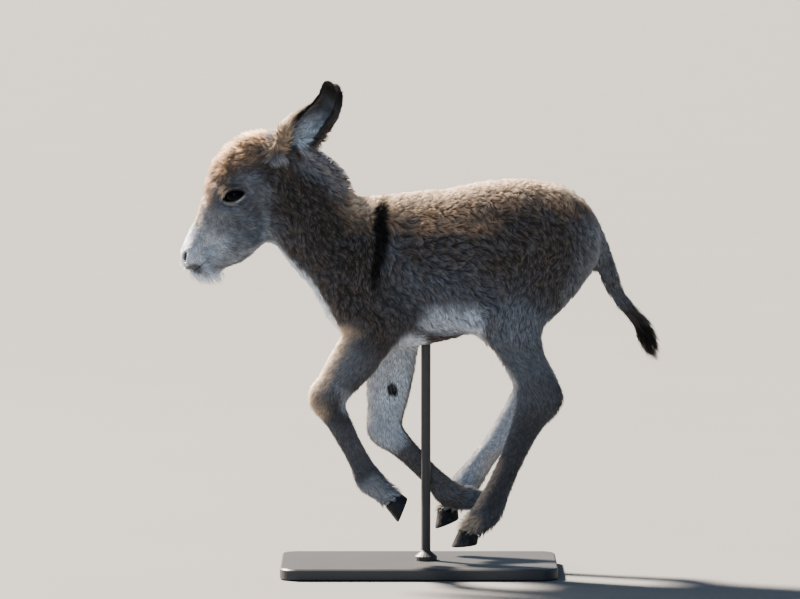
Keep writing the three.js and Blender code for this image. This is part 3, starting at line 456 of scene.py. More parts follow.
def marks_at(points, facing):
    """The strength of each marking at points of the skin, from 0 to 1."""
    rough = np.stack([noise(points, .022, 3 + k) for k in range(3)], 1)  # keeps the edges uneven
    found = {}
    for mark, rows in MARKS.items():
        value = np.zeros(len(points))
        for row in rows:
            start, end, (radius, fade) = np.split(np.array(row[:8]) * MM, (3, 6))
            source = points + rough * min(.006, .3 * fade)
            value = np.maximum(value, row[8] * near_line(source, start, end, radius, fade))
        found[mark] = value
    # Painted sunlight: the golden marking stays only on faces turned up and forward, towards the sun, and
    # below the top it is broken into mottled patches.
    upward = dot(facing, np.array((-.5, 0, .85)))
    mottle = ramp(noise(points, .017, 8), -.3, .5) * (1 - ramp(upward, .55, .9))
    found["gold_and_sunlit"] = found["gold_and_sunlit"] * ramp(upward, -.35, .45) * (1 - .6 * mottle)
    flecks = noise(points, .0075, 14)
    forward, height = -points[:, 0], points[:, 2]
    cheek = ramp(forward, .26, .275) * (1 - ramp(forward, .35, .372)) * (1 - ramp(height, .64, .665))
    found["dark"] = np.maximum(found["dark"], .45 * cheek * ramp(flecks, .1, .7))
    found["pale"] = np.maximum(found["pale"], .28 * cheek * ramp(-flecks, .1, .7))
    inward = ramp(-facing[:, 1] * np.sign(points[:, 1]), .2, .8)
    for leg, joints in LEGS.items():
        for top, low, share in zip(joints, joints[1:], LEG_PALE[leg.split("_")[0]]):
            _, off = share_along(points, top, low)
            found["pale"] = np.maximum(found["pale"], share * inward * (1 - ramp(off, .03, .06)))
    for ear in EARS:
        share, off, around, hollow = ear_place(points, facing, ear)
        own = (1 - ramp(off, .04, .05)) * ramp(share, .05, .13)
        inside = ramp(hollow, -.25, .25)
        edge = ramp(np.abs(around), .78, .92)
        rear = ramp(-around, -.3, .3)
        paint = {
            "pale": inside * (1 - ramp(share, .3, .72)) * (1 - .5 * edge) * (.25 + .5 * rear),
            # The beige and golden hair on the ear's outer front is partly painted sunlight.
            "sand_and_sunlit": .4 * (1 - inside) * ramp(around, 0, .4) * (1 - ramp(share, .38, .56)),
            "grey": inside * (1 - edge),
            "dark": np.maximum(ramp(share, .72, .86), inside * ramp(share, .5, .74) * (.9 - .5 * rear)),
            "black": np.maximum(edge * ramp(share + .14 * rear, .34, .5), ramp(share, .8, .92)),
            "gold_and_sunlit": (1 - inside) * (1 - ramp(share, .42, .62)) * ramp(around, 0, .4)
                    * (.65 + .5 * noise(points, .007, 9)),
        }
        for mark, value in paint.items():
            found[mark] = found[mark] * (1 - own) + own * value
    return found


# ---- The skin ----

FLESH = sorted(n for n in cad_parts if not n.startswith(("stand", "hoof", "eye")))
EYES = ["eye_left", "eye_right"]  # they fill their sockets while the skin is made
VOXEL = .003
SKIN_GROWTH = .001  # closes the thin cuts between the nodes before they are made one
SKIN_KEPT = .29  # share of the faces that stay, nearly all of those left out being on body and legs
EAR_SPARED = .45  # share of the coat's depth that the skin of the ears doesn't sink by
FINE_ZONES = ((.045, .042), (.03, .03), (.023, 0))  # reach round the eyes and the muzzle, for each cut


def head_share(points):
    """1 on the head and ears, 0 on the rest of the body."""
    return ramp(-points[:, 0] + .35 * (points[:, 2] - .66), .215, .245)


def put_group(obj, name, weights):
    """A vertex group, made of weights rounded to twentieths."""
    group = obj.vertex_groups.new(name=name)
    steps = np.round(weights * 20).astype(int)
    for step in range(1, 21):
        members = np.nonzero(steps == step)[0]
        if len(members):
            group.add(members.tolist(), step / 20, "REPLACE")


def eye_axes(side):
    """Centre of an eye, and the directions from its inner to its outer corner, up and out of the head."""
    out = unit((-.16, side, .04))
    lean = math.radians(EYE["tilt"])
    back = np.array((math.cos(lean), 0, math.sin(lean)))
    back = unit(back - out * (back @ out))
    up = np.cross(back, out) * -side
    return np.array(EYE["at"]) * (1, side, 1), back, unit(up) * np.sign(up[2]), out


LID_POWER = 1.35  # 2 would make the opening an ellipse; less makes its corners sharper


def lid_distance(s, t):
    """How far a point of the eye's plane lies outside the opening between the lids; negative inside."""
    high = np.where(t > 0, EYE["up"], EYE["down"])
    x, z = np.abs(s) / EYE["half"], np.abs(t) / high
    field = x ** 2 + z ** LID_POWER - 1
    slope = np.hypot(2 * x / EYE["half"], LID_POWER * np.maximum(z, .02) ** (LID_POWER - 1) / high)
    return field / np.maximum(slope, .8 / EYE["half"])


def lid_height(s, t):
    """How far the lids' edges stand out from the eye's centre: on the ball, and flatter at the corners."""
    radius = EYE["radius"]
    return np.sqrt(np.maximum(radius ** 2 - (.74 * s) ** 2 - t ** 2, (.35 * radius) ** 2))


def shape_eye(points, side):
    """Lids, the fold above them and the hollow that holds the ball."""
    centre, back, up, out = eye_axes(side)
    rel = points - centre
    s, t, w = rel @ back, rel @ up, rel @ out
    zone = (w > 0) & (np.hypot(s, t) < .045)
    d = lid_distance(s, t)
    ball = np.sqrt(np.maximum(EYE["radius"] ** 2 - s ** 2 - t ** 2, 0))
    rim = lid_height(s, t)
    roll = .001 + .001 * np.sin(np.pi * np.clip(d / .0055, 0, 1))
    fold = np.where(t > -.002, .0016, .0002) * np.exp(-((d - .0068) / .0013) ** 2)
    swell = np.where(t > 0, .0016, .0002) * np.exp(-((d - .01) / .0024) ** 2) * ramp(s, -.022, -.008)
    ridge = .0034 * np.exp(-((s + .0165) / .005) ** 2 - ((t - .0125) / .005) ** 2)
    lids = rim + roll
    spread = ramp(d, .0035, .015)
    outside = lids * (1 - spread) + w * spread - fold + swell + ridge
    inside = np.maximum(ball - .003, rim - .005)
    height = inside + (outside - inside) * ramp(d, -.001, .0002)
    moved = points + out * (height - w)[:, None]
    return np.where(zone[:, None], moved, points), np.where(zone, 1 - ramp(d, .0006, .0016), 0)


def nostril_place(points, side):
    """Share of the way from a nostril's middle to its edge, and how deep a point lies along its axis."""
    out = unit((-.8, side * .6, -.1))
    along = np.array((.46, 0, .89))
    along = unit(along - out * (along @ out))
    across = np.cross(out, along)
    rel = points - np.array(NOSTRIL["at"]) * (1, side, 1)
    s, t, w = rel @ along, rel @ across, rel @ out
    bend = t - NOSTRIL["bend"] * side * s * s
    q = np.hypot(s / NOSTRIL["half"][0], bend / NOSTRIL["half"][1])
    return q, w, out


def shape_nostril(points, side):
    """The opening of a nostril and the wing round it."""
    q, w, out = nostril_place(points, side)
    near = np.abs(w) < .022
    sunk = NOSTRIL["deep"] * (1 - ramp(q, .35, 1.05))
    wing = .0016 * np.exp(-((q - 1.45) / .38) ** 2)
    moved = points + out * np.where(near, wing - sunk, 0)[:, None]
    return moved, np.where(near, 1 - ramp(q, .75, 1.05), 0)


def mouth_line(points):
    """Height above the line of the mouth, and how much of the mouth there is at a point."""
    (x0, z0), (x1, z1) = MOUTH["front"], MOUTH["corner"]
    share = (points[:, 0] - x0) / (x1 - x0)
    line = z0 + (z1 - z0) * np.clip(share, 0, 1) + .0006 * np.sin(np.pi * np.clip(share, 0, 1))
    return points[:, 2] - line, 1 - ramp(share, .86, 1.05)


def shape_mouth(points, facing):
    above, there = mouth_line(points)
    groove = MOUTH["deep"] * np.exp(-(above / .0016) ** 2)
    lips = .001 * np.exp(-((np.abs(above) - .0042) / .0022) ** 2)
    return points + facing * (there * (lips - groove))[:, None], there * np.exp(-(above / .0013) ** 2)


def split_faces(obj, where):
    """Cuts each face whose centre passes the test into four."""
    mesh = obj.data
    chosen = where(read(mesh.polygons, "center", 3).astype(float))
    pick(obj)
    bpy.ops.object.mode_set(mode="EDIT")
    bpy.ops.mesh.select_mode(type="FACE")
    bpy.ops.mesh.select_all(action="DESELECT")
    bpy.ops.object.mode_set(mode="OBJECT")
    mesh.polygons.foreach_set("select", chosen)
    bpy.ops.object.mode_set(mode="EDIT")
    bpy.ops.mesh.subdivide(number_cuts=1)
    bpy.ops.object.mode_set(mode="OBJECT")


def eye_reach(points):
    """Distance from the nearer eye's middle."""
    return np.linalg.norm(one_side(points) - np.array(EYE_MIDDLE), axis=1)


def muzzle_reach(points):
    """Distance from the front of the muzzle, with less weight on the way across."""
    return np.linalg.norm(points * (1, .6, 1) - np.array(MUZZLE_FRONT), axis=1)


def make_skin():
    """All the flesh as one skin: joined, smoothed, sunk by the depth of the coat, and given its face."""
    skin = joined([merged_copy(n) for n in FLESH + EYES], "skin")
    modify(skin, "DISPLACE", strength=SKIN_GROWTH, mid_level=0)
    modify(skin, "REMESH", mode="VOXEL", voxel_size=VOXEL, adaptivity=0)
    points = places(skin.data)
    put_group(skin, "soft", 1 - .4 * head_share(points) - .35 * ear_part(points))
    put_group(skin, "plain", 1 - np.maximum(head_share(points), ear_part(points)))
    modify(skin, "SMOOTH", factor=.5, iterations=12, vertex_group="soft")
    modify(skin, "DECIMATE", ratio=SKIN_KEPT, vertex_group="plain", use_symmetry=False)
    points, facing = places(skin.data), normals(skin.data)
    depth = coat_at(points, facing)[2][:, 0] * MM + SKIN_GROWTH
    depth = depth * (1 - EAR_SPARED * ear_part(points))
    put_places(skin.data, points - facing * depth[:, None])
    for eye_zone, muzzle_zone in FINE_ZONES:
        split_faces(skin, lambda p: (eye_reach(p) < eye_zone) | (muzzle_reach(p) < muzzle_zone))
    modify(skin, "SMOOTH", factor=.5, iterations=2)
    points, facing = places(skin.data), normals(skin.data)
    points, bare = shape_mouth(points, facing)
    bare = bare * (muzzle_reach(points) < .05)
    for side in (-1, 1):
        for shape in (shape_nostril, shape_eye):
            points, opening = shape(points, side)
            bare = np.maximum(bare, opening)
    put_places(skin.data, points)
    skin.vertex_groups.clear()
    facing = normals(skin.data)
    for mark, values in marks_at(points, facing).items():
        put_value(skin.data, mark, values)
    put_value(skin.data, "bare", bare)
    with edit_mode(skin):
        bpy.ops.uv.smart_project(angle_limit=math.radians(66), island_margin=.002)
    skin.data.uv_layers[0].name = "OFBake"
    bpy.ops.object.shade_smooth()
    return skin


# ---- Tufts ----

class SkinMap:
    """Random places on the skin, with the way that it faces and its unwrap there."""

    def __init__(self, skin):
        mesh = skin.data
        mesh.calc_loop_triangles()
        self.points, self.facing = places(mesh), normals(mesh)
        self.corners = read(mesh.loop_triangles, "vertices", 3, np.int32)
        self.loops = read(mesh.loop_triangles, "loops", 3, np.int32)
        self.unwrap = read(mesh.uv_layers["OFBake"].data, "uv", 2)
        a, b, c = (self.points[self.corners[:, k]] for k in range(3))
        self.middle = (a + b + c) / 3
        across = np.cross(b - a, c - a)
        self.area, self.outward = np.linalg.norm(across, axis=1) / 2, unit(across)
        self.bare = read(mesh.attributes["bare"].data, "value", 1)[self.corners, 0].max(1)

    def sample(self, density):
        """Roots spread so that each face has density (a square metre) of them."""
        many = np.cumsum(self.area * density)
        total = int(many[-1])
        face = np.searchsorted(many, (np.arange(total) + DICE.random(total)) * many[-1] / total)
        face = np.minimum(face, len(many) - 1)
        r1, r2 = np.sqrt(DICE.random(total)), DICE.random(total)
        shares = np.stack([1 - r1, r1 * (1 - r2), r1 * r2], 1)
        corners = self.corners[face]
        root = (self.points[corners] * shares[:, :, None]).sum(1)
        facing = unit((self.facing[corners] * shares[:, :, None]).sum(1))
        unwrap = (self.unwrap[self.loops[face]] * shares[:, :, None]).sum(1)
        return root, facing, unwrap

    def unwrap_near(self, points):
        """The unwrap of the faces nearest to points."""
        face = [((self.middle - point) ** 2).sum(1).argmin() for point in points]
        return self.unwrap[self.loops[face]].mean(1)


PATCH = .003  # a tuft's width on the unwrap
ROOT_DEPTH = .0006  # how far a tuft's root is sunk into the skin


def spikes(name, root, facing, unwrap, lie, length, width, lift, bend, wave, values, rings=2, soft=.45,
           clump=None):
    """One mesh of closed three-sided spikes. The lift at the root drops towards the tip by bend, and the
    middle swings sideways by wave, a share of the length. Soft is how much they are lit like the skin, and
    clump moves their tips."""
    count = len(root)
    side = np.cross(facing, lie)
    first = lift * (1 + bend)
    last = lift * (1 - 1.6 * bend)
    rise = lie * np.cos(first)[:, None] + facing * np.sin(first)[:, None]
    fall = lie * np.cos(last)[:, None] + facing * np.sin(last)[:, None]
    joint = root + rise * (length * .5)[:, None] + side * (length * wave)[:, None]
    tip = joint + fall * (length * .5)[:, None] - side * (length * wave * 1.2)[:, None]
    if clump is not None:
        tip, joint = tip + clump, joint + .35 * clump
    foot = root - facing * ROOT_DEPTH
    stations = [(foot, 1.0), (joint, .72)] if rings == 2 else [(foot, 1.0)]
    angles = np.radians((90, 210, 330))
    parts, radial, along, patch = [], [], [], []
    for i, (centre, wide) in enumerate(stations):
        ridge = unit(np.cross(rise if i == 0 else rise + fall, side))
        for angle in angles:
            ray = side * math.cos(angle) + ridge * (math.sin(angle) * .6)
            parts.append(centre + ray * (width * wide / 2)[:, None])
            radial.append(ray)
            along.append(i * .5)
            reach = PATCH / 2 * (1 - .5 * i)
            patch.append((reach * math.cos(angle), reach * math.sin(angle)))
    parts.append(tip)
    radial.append(fall)
    along.append(1.0)
    patch.append((0, 0))
    per = len(parts)
    points = np.stack(parts, 1).reshape(-1, 3)
    faces = [(0, 2, 1)]
    for i in range(len(stations) - 1):
        for k in range(3):
            a, b = 3 * i + k, 3 * i + (k + 1) % 3
            faces += [(a, b, b + 3), (a, b + 3, a + 3)]
    top = per - 1
    faces += [(top - 3 + k, top - 3 + (k + 1) % 3, top) for k in range(3)]
    faces = np.array(faces)
    corners = (faces[None] + (np.arange(count) * per)[:, None, None]).reshape(-1)
    mesh = bpy.data.meshes.new(name)
    mesh.vertices.add(len(points))
    mesh.vertices.foreach_set("co", points.astype(np.float32).ravel())
    mesh.loops.add(len(corners))
    mesh.loops.foreach_set("vertex_index", corners.astype(np.int32))
    polygons = len(corners) // 3
    mesh.polygons.add(polygons)
    mesh.polygons.foreach_set("loop_start", np.arange(0, polygons * 3, 3, dtype=np.int32))
    mesh.update(calc_edges=True)
    mesh.shade_smooth()
    put_value(mesh, "along", np.tile(np.array(along), count))
    for key, value in values.items():
        put_value(mesh, key, np.repeat(value, per))
    spots = unwrap[:, None, :] + np.array(patch)[None]
    layer = mesh.uv_layers.new(name="OFBake")
    layer.data.foreach_set("uv", spots.reshape(-1, 2)[corners].astype(np.float32).ravel())
    bent = unit(np.stack(radial, 1) * (1 - soft) + facing[:, None, :] * soft).reshape(-1, 3)
    mesh.normals_split_custom_set_from_vertices(bent)
    obj = bpy.data.objects.new(name, mesh)
    bpy.context.scene.collection.objects.link(obj)
    return obj


def swirled(points, facing, lie, size, angle, seed):
    """Turns the lie of the coat about the skin's normal, by a noise of up to angle degrees."""
    turn = np.radians(angle) * noise(points, size, seed)
    side = np.cross(facing, lie)
    return lie * np.cos(turn)[:, None] + side * np.sin(turn)[:, None]


def lock_pull(root, facing, lie, length, lift, weight, step):
    """Draws the tips of a lock's tufts together: the vector that each tip moves by."""
    picks = np.arange(0, len(root), step)
    tree = KDTree(len(picks))
    for i, k in enumerate(picks):
        tree.insert(root[k], i)
    tree.balance()
    own = picks[[tree.find(p)[1] for p in root]]
    reach = lie * np.cos(lift)[:, None] + facing * np.sin(lift)[:, None]
    tips = root + reach * length[:, None]
    return (tips[own] - tips) * weight[:, None]


TRUNK_CUTS = (.015, .15)  # where the coat of the trunk changes from one piece to the next
LONG_COAT = ("coat_trunk", "coat_neck", "coat_tail")  # pieces whose tufts have a bend in the middle
LOCK = 16  # tufts that are drawn together at their tips


def piece_of(best, root):
    """The name of the coat piece that each tuft belongs to."""
    regions = np.array(REGIONS)[best]
    names = np.char.add("coat_", regions).astype(object)
    sides = np.where(root[:, 1] < 0, "_left", "_right")
    lengths = np.array(("_fore", "_middle", "_hind"))[np.searchsorted(TRUNK_CUTS, root[:, 0], side="right")]
    trunk, neck = regions == "trunk", regions == "neck"
    names[trunk] = names[trunk] + lengths[trunk] + sides[trunk]
    names[neck] = names[neck] + sides[neck]
    return names


def make_coat(ground, material):
    """The whole coat, as a piece for each part of the body."""
    spacing = coat_at(ground.middle, ground.outward)[2][:, 3] * MM
    hairy = 1 - ramp(ground.bare, .2, .6)
    root, facing, unwrap = ground.sample(hairy / spacing ** 2)
    best, lie, numbers, leg_share = coat_at(root, facing)
    _, length, width, _, lift, curl = numbers.T
    calm = np.where(np.array(REGIONS)[best] == "tail", .5, 1)
    lie = swirled(root, facing, lie, .032, 30 * calm, 21)
    lie = swirled(root, facing, lie, .008, (20 + 50 * np.clip(curl, 0, 1)) * calm, 22)
    lie = unit(lie + .16 * np.cross(facing, lie) * (2 * DICE.random(len(root)) - 1)[:, None])
    count = len(root)
    length = length * MM * (.7 + .6 * DICE.random(count))
    width = width * MM * (.75 + .5 * DICE.random(count))
    lift = np.radians(lift * (.7 + .6 * DICE.random(count)) * (1 + .35 * noise(root, .014, 23)))
    pull = lock_pull(root, facing, lie, length, lift, np.clip(curl, 0, .5), LOCK)
    slack = 1 - ramp(leg_share, .1, .5)  # the short coat of the legs lies straight
    wave = curl * slack * (.3 * noise(root, .01, 24) + .12 * (2 * DICE.random(count) - 1))
    names = piece_of(best, root)
    marks = marks_at(root, facing)
    shift = (.2 + .25 * slack) * noise(root, .0055, 31)
    marks["tint"] = np.clip(.5 * DICE.random(count) + .25 + shift, 0, 1)
    for name in sorted(set(names)):
        own = names == name
        piece = spikes(
            name, root[own], facing[own], unwrap[own], lie[own], length[own], width[own], lift[own],
            .45 * slack[own], wave[own], {key: value[own] for key, value in marks.items()},
            rings=2 if name.startswith(LONG_COAT) else 1, clump=pull[own])
        finished(piece, material, "coat")


# ---- Materials ----

class Wire:
    """A socket that carries numbers, so that sums of them can be written as sums."""

    def __init__(self, paint, socket):
        self.paint, self.socket = paint, socket

    def __add__(self, other):
        return self.paint.math("ADD", self, other)

    def __sub__(self, other):
        return self.paint.math("SUBTRACT", self, other)

    def __rsub__(self, other):
        return self.paint.math("SUBTRACT", other, self)

    def __mul__(self, other):
        return self.paint.math("MULTIPLY", self, other)

    __radd__, __rmul__ = __add__, __mul__


class Paint:
    """A material and the means to add nodes to it."""

    def __init__(self, name, **settings):
        self.material = bpy.data.materials.new(name)
        self.material.use_nodes = True
        self.nodes = self.material.node_tree.nodes
        self.links = self.material.node_tree.links
        self.shader = self.nodes["Principled BSDF"]
        for key, value in settings.items():
            self.shader.inputs[key.replace("_", " ")].default_value = value

    def node(self, kind, settings=None, inputs=None, out=0):
        made = self.nodes.new(kind)
        for key, value in (settings or {}).items():
            setattr(made, key, value)
        for key, value in (inputs or {}).items():
            if isinstance(value, Wire):
                self.links.new(value.socket, made.inputs[key])
            else:
                made.inputs[key].default_value = value
        return Wire(self, made.outputs[out])

    def math(self, operation, a, b):
        return self.node("ShaderNodeMath", {"operation": operation}, {0: a, 1: b})

    def value(self, name):
        return self.node("ShaderNodeAttribute", {"attribute_name": name}, out="Fac")

    def place(self):
        return self.node("ShaderNodeTexCoord", out="Object")

    def grain(self, size, detail=2, roughness=.5):
        """Noise from 0 to 1 with bumps of a size in metres."""
        inputs = {"Vector": self.place(), "Scale": 1 / size, "Detail": detail, "Roughness": roughness}
        return self.node("ShaderNodeTexNoise", {}, inputs)

    def mix(self, share, a, b, blend="MIX"):
        return self.node("ShaderNodeMix", {"data_type": "RGBA", "blend_type": blend},
                         {0: share, 6: a, 7: b}, out=2)

    def toned(self, colour, tone):
        """A colour times a number."""
        tone = self.node("ShaderNodeCombineColor", {}, {0: tone, 1: tone, 2: tone})
        return self.mix(1.0, colour, tone, "MULTIPLY")

    def step(self, wire, low, high):
        """0 below low, 1 above high."""
        return self.node("ShaderNodeMapRange", {"interpolation_type": "SMOOTHSTEP"},
                         {"Value": wire, "From Min": low, "From Max": high})

    def feed(self, **sockets):
        for key, wire in sockets.items():
            self.links.new(wire.socket, self.shader.inputs[key.replace("_", " ")])

    def bump(self, height, distance):
        self.feed(Normal=self.node("ShaderNodeBump", {}, {"Height": height, "Distance": distance}))


def shade(red, green, blue):
    """A colour given in the usual 0 to 255 steps."""
    def linear(c):
        c /= 255
        return c / 12.92 if c <= .04045 else ((c + .055) / 1.055) ** 2.4
    return (linear(red), linear(green), linear(blue), 1)


HAIR = {
    "brown": shade(87, 80, 78),
    "grey": shade(102, 114, 130),
    # The golden and beige hair also serve as painted sunlight where the markings put them.
    "gold_and_sunlit": shade(196, 164, 134),
    "sand_and_sunlit": shade(238, 218, 194),
    # White hair, tinted blue as painted skylight in the shade.
    "pale": shade(228, 240, 255),
    "dark": shade(45, 41, 41),
    "black": shade(12, 11, 11),
}


def marked(paint):
    """The colour of the coat by its markings, the same on skin and tufts."""
    patches = paint.step(paint.grain(.026, 4, .65), .4, .64)
    colour = paint.mix(patches * .4, HAIR["brown"], HAIR["grey"])
    for mark, share in (("grey", .75), ("gold_and_sunlit", 1), ("dark", .8), ("pale", 1), ("sand_and_sunlit", 1), ("black", 1)):
        colour = paint.mix(paint.value(mark) * share, colour, HAIR[mark])
    return paint.toned(colour, paint.step(paint.grain(.008, 3, .6), .36, .66) * .26 + .84)


def coat_material():
    paint = Paint("foal coat", Roughness=.72, Specular_IOR_Level=.25, Sheen_Weight=.14, Sheen_Roughness=.45)
    colour = marked(paint)
    along, tint = paint.value("along"), paint.value("tint")
    # Each tuft is darker towards its root, painted shade of the coat on itself, and a little lighter at its
    # tip.
    root = paint.mix(1.0, colour, (.6, .57, .56, 1), "MULTIPLY")
    tip = paint.mix(.22, colour, shade(218, 204, 190))
    colour = paint.mix(paint.step(along, 0, .55), root, colour)
    colour = paint.mix(paint.step(along, .45, 1) * (1 - paint.value("black") * .9), colour, tip)
    paint.feed(Base_Color=paint.toned(colour, tint * .7 + .66))
    return paint.material


def skin_material():
    paint = Paint("foal skin", Roughness=.7, Sheen_Weight=.15)
    colour = marked(paint)
    # The skin takes the coat's markings darkened, as painted shade beneath the tufts.
    colour = paint.mix(1.0, colour, (.62, .6, .6, 1), "MULTIPLY")
    colour = paint.mix(paint.value("bare"), colour, shade(30, 25, 26))
    fine = paint.grain(.0016, 3, .6)
    paint.feed(Base_Color=paint.mix(.5, colour, paint.mix(fine, colour, shade(30, 26, 25))))
    paint.bump(fine + paint.grain(.006, 2), .0012)
    return paint.material


def eye_material():
    paint = Paint("eye", Roughness=.14, Specular_IOR_Level=.06, Coat_Weight=.1, Coat_Roughness=.05)
    # The dark iris is tinted navy, partly a painted reflection of the cool sky.
    ring = paint.mix(paint.grain(.0012, 3), shade(10, 13, 19), shade(17, 20, 27))
    iris = paint.mix(paint.step(paint.value("iris"), .1, .35), shade(20, 12, 9), ring)
    paint.feed(Base_Color=paint.mix(paint.step(paint.value("iris"), .78, .9), iris, shade(4, 4, 6)))
    return paint.material


def lid_material():
    paint = Paint("lid edge", Roughness=.35, Coat_Weight=.3, Coat_Roughness=.2)
    paint.feed(Base_Color=paint.mix(paint.grain(.002, 3), shade(22, 18, 18), shade(44, 37, 36)))
    return paint.material


def hoof_material():
    paint = Paint("hoof horn", Roughness=.5, Specular_IOR_Level=.2, Coat_Weight=.05, Coat_Roughness=.4)
    rings = paint.grain(1 / 260)
    base = paint.mix(rings, shade(22, 26, 31), shade(42, 48, 54))
    worn = paint.mix(paint.step(paint.grain(.009, 4), .52, .68), base, shade(62, 62, 60))
    paint.feed(Base_Color=worn, Roughness=rings * .25 + .42)
    paint.bump(rings + paint.grain(.0018, 3) * .5, .0006)
    return paint.material


def stand_material():
    paint = Paint("painted stand", Roughness=.45, Metallic=0)
    speck = paint.grain(.0012, 3)
    cloud = paint.grain(.12, 3)
    paint.feed(Base_Color=paint.mix(cloud * .6 + speck * .3, shade(52, 53, 55), shade(70, 71, 73)),
               Roughness=speck * .16 + .38)
    paint.bump(speck, .00015)
    return paint.material


def floor_material():
    paint = Paint("studio floor", Roughness=.9)
    paint.feed(Base_Color=paint.mix(paint.grain(.4, 3), shade(108, 109, 110), shade(112, 113, 114)))
    return paint.material


# ---- Eyes, whiskers, lashes and hooves ----

def side_name(side):
    return "left" if side < 0 else "right"


def placed(obj, name, points, material, slot, *nodes):
    """Moves the vertices of a new round piece, faces it outwards and finishes it."""
    obj.name = obj.data.name = name
    put_places(obj.data, points)
    with edit_mode(obj):
        bpy.ops.mesh.normals_make_consistent(inside=False)
    bpy.ops.object.shade_smooth()
    return finished(obj, material, slot, *nodes)


RIM_SCALE = .01  # metres of a lid's edge for each unit of the ring that it is made from, measured across


def make_eye(side, ball_paint, rim_paint):
    """A ball with a slightly bulging front, and the dark edge of its lids."""
    name = side_name(side)
    centre, back, up, out = eye_axes(side)
    deselect()
    bpy.ops.mesh.primitive_uv_sphere_add(segments=48, ring_count=32, radius=EYE["radius"])
    ball = bpy.context.object
    points = places(ball.data)
    front = points[:, 2] / EYE["radius"]
    cornea = ramp(front, .8, .98)
    across = np.hypot(points[:, 0], points[:, 1]) / .0125
    pupil = np.hypot(points[:, 0] / .008, points[:, 1] / .0048)
    iris = np.where(pupil < 1, 1, np.clip(1.1 - across, 0, .7))
    put_value(ball.data, "iris", np.where(front > 0, iris, 0))
    points = points * (1 + .035 * cornea)[:, None]
    points = centre + points[:, :1] * back + points[:, 1:2] * up + points[:, 2:] * out
    placed(ball, "eyeball_" + name, points, ball_paint, "eye", "eye_" + name)

    deselect()
    bpy.ops.mesh.primitive_torus_add(major_segments=96, minor_segments=10, major_radius=1, minor_radius=.1)
    rim = bpy.context.object
    points = places(rim.data)
    angle = np.arctan2(points[:, 1], points[:, 0])
    push = (np.hypot(points[:, 0], points[:, 1]) - 1) * RIM_SCALE
    c, v = np.cos(angle), np.sin(angle)
    s = EYE["half"] * c
    t = np.where(v > 0, EYE["up"], EYE["down"]) * np.sign(v) * (1 - np.abs(c) ** 2) ** (1 / LID_POWER)
    w = lid_height(s, t) + .0007 + points[:, 2] * RIM_SCALE
    s, t = s * (1 + push / EYE["half"]), t + np.sign(v) * push * np.abs(v) ** .5
    points = centre + s[:, None] * back + t[:, None] * up + w[:, None] * out
    placed(rim, "lid_edge_" + name, points, rim_paint, "coat")


def loose_hairs(name, material, root, facing, unwrap, way, length, width, wave, mark):
    """Single hairs of one marking that stand free, such as whiskers and lashes, as thin closed spikes."""
    lie = unit(way - facing * dot(way, facing)[:, None])
    lift = np.arcsin(np.clip(dot(unit(way), facing), -1, 1))
    count = len(root)
    values = {each: np.full(count, float(each == mark)) for each in MARKS}
    values["tint"] = DICE.random(count)
    bend = np.full(count, .25)
    hairs = spikes(name, root, facing, unwrap, lie, length, width, lift, bend, wave, values, soft=.2)
    finished(hairs, material, "coat")


def make_whiskers(ground, material):
    """Pale wisps under the chin, which hang down and back, and a few whiskers on the lips."""
    below = ramp(-ground.facing[ground.corners[:, 0], 2], .2, .6)
    wisps = below * near_line(ground.middle, (-.386, .004, .508), (-.345, .008, .504), .009, .008)
    lips = near_line(ground.middle, (-.399, .01, .53), (-.39, .014, .518), .006, .006)
    root, facing, unwrap = ground.sample(wisps * 1.5e5 + lips * 3e4)
    count = len(root)
    chin = root[:, 0] > -.389
    drift = .35 * np.stack([noise(root, .006, 41 + k) for k in range(3)], 1)
    way = np.where(chin[:, None], facing * .25 + np.array((.45, 0, -.8)), facing + np.array((-.2, 0, -.1)))
    length = np.where(chin, .014 + .012 * DICE.random(count), .005 + .005 * DICE.random(count))
    width = np.where(chin, .0014, .0005)
    wave = .3 * (DICE.random(count) - .3)
    loose_hairs("whiskers", material, root, facing, unwrap, way + drift, length, width, wave, "pale")


LASHES = 44


def make_lashes(side, ground, material):
    """Lashes along the upper lid."""
    centre, back, up, out = eye_axes(side)
    share = np.linspace(-.7, .94, LASHES) + .012 * (2 * DICE.random(LASHES) - 1)
    s = EYE["half"] * share
    t = EYE["up"] * (1 - share ** 2) ** (1 / LID_POWER)
    w = lid_height(s, t) + .0012
    root = centre + s[:, None] * back + t[:, None] * up + w[:, None] * out
    facing = np.tile(out, (LASHES, 1))
    way = out * .9 + up * .1 + back * (.5 * share)[:, None] + .12 * (2 * DICE.random((LASHES, 3)) - 1)
    length, width, wave = .0065 + .003 * DICE.random(LASHES), np.full(LASHES, .0005), np.zeros(LASHES)
    name, unwrap = "lashes_" + side_name(side), ground.unwrap_near(root)
    loose_hairs(name, material, root, facing, unwrap, way, length, width, wave, "black")


def make_hoof(node, material):
    """A hoof with rounded edges and a slightly ringed wall."""
    hoof = merged_copy(node)
    hoof.name = hoof.data.name = node + "_horn"
    modify(hoof, "BEVEL", width=.0016, segments=2, limit_method="ANGLE", angle_limit=math.radians(40))
    modify(hoof, "REMESH", mode="VOXEL", voxel_size=.0012, adaptivity=0)
    modify(hoof, "SMOOTH", factor=.5, iterations=4)
    pick(hoof)
    bpy.ops.object.shade_smooth()
    finished(hoof, material, "hoof", node)


# ---- The studio ----

def make_stage():
    deselect()
    bpy.ops.mesh.primitive_plane_add(size=600)
    floor = bpy.context.object
    floor.name = "floor"
    floor.data.materials.append(floor_material())


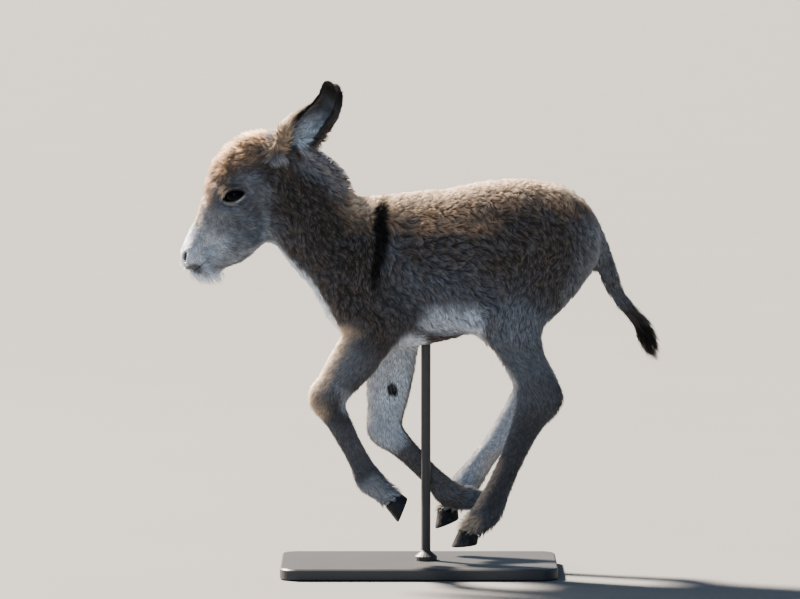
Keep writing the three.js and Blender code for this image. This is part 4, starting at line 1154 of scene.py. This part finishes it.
def aimed(name, data, place, target):
    """Puts a light or camera in the scene, looking from its place to its target."""
    obj = bpy.data.objects.new(name, data)
    obj.location = place
    obj.rotation_euler = (Vector(target) - Vector(place)).to_track_quat("-Z", "Y").to_euler()
    bpy.context.scene.collection.objects.link(obj)
    return obj


def add_light(name, kind, place, target, colour, power, **settings):
    lamp = bpy.data.lights.new(name, kind)
    lamp.color, lamp.energy = colour, power
    for key, value in settings.items():
        setattr(lamp, key, value)
    aimed(name, lamp, place, target)


def make_lights():
    """A warm sun from ahead on its right, a warm light on the edge of the face, a cool fill and sky."""
    add_light("warm key", "SUN", (0, 0, 0), (.56, -.42, -.71), (1, .86, .71), 24, angle=math.radians(8))
    add_light("warm rim", "AREA", (-3.3, 1.8, 1), (-.1, 0, .34), (1, .84, .66), 95, shape="DISK", size=1.4)
    add_light("cool fill", "AREA", (-.8, -4.2, 2.2), (0, 0, .45), (.64, .83, 1), 38, shape="DISK", size=2.5)
    world = bpy.context.scene.world = bpy.data.worlds.new("studio")
    world.use_nodes = True
    sky = world.node_tree.nodes["Background"].inputs
    sky["Color"].default_value, sky["Strength"].default_value = (.6, .77, 1, 1), .42
    bpy.context.scene.view_settings.look = "AgX - Medium High Contrast"


def make_camera():
    """Level with the foal and a little above, looking square at its left side."""
    target, distance, rise = Vector((-.032, 0, .466)), 10, math.radians(4.5)
    data = bpy.data.cameras.new("camera")
    data.sensor_width, data.lens, data.clip_end = 36, 264.7, 200
    place = target + distance * Vector((0, -math.cos(rise), math.sin(rise)))
    bpy.context.scene.camera = aimed("camera", data, place, target)


make_camera()
make_stage()
make_lights()
skin = make_skin()
finished(skin, skin_material(), "coat", *FLESH)
ground = SkinMap(skin)
hair, ball_paint, rim_paint = coat_material(), eye_material(), lid_material()
make_coat(ground, hair)
make_whiskers(ground, hair)
for side in (-1, 1):
    make_eye(side, ball_paint, rim_paint)
    make_lashes(side, ground, hair)
horn = hoof_material()
for leg in LEGS:
    make_hoof("hoof_" + leg, horn)
metal = stand_material()
for node in ("stand_base", "stand_rod"):
    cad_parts[node].data.materials[0] = metal
deselect()
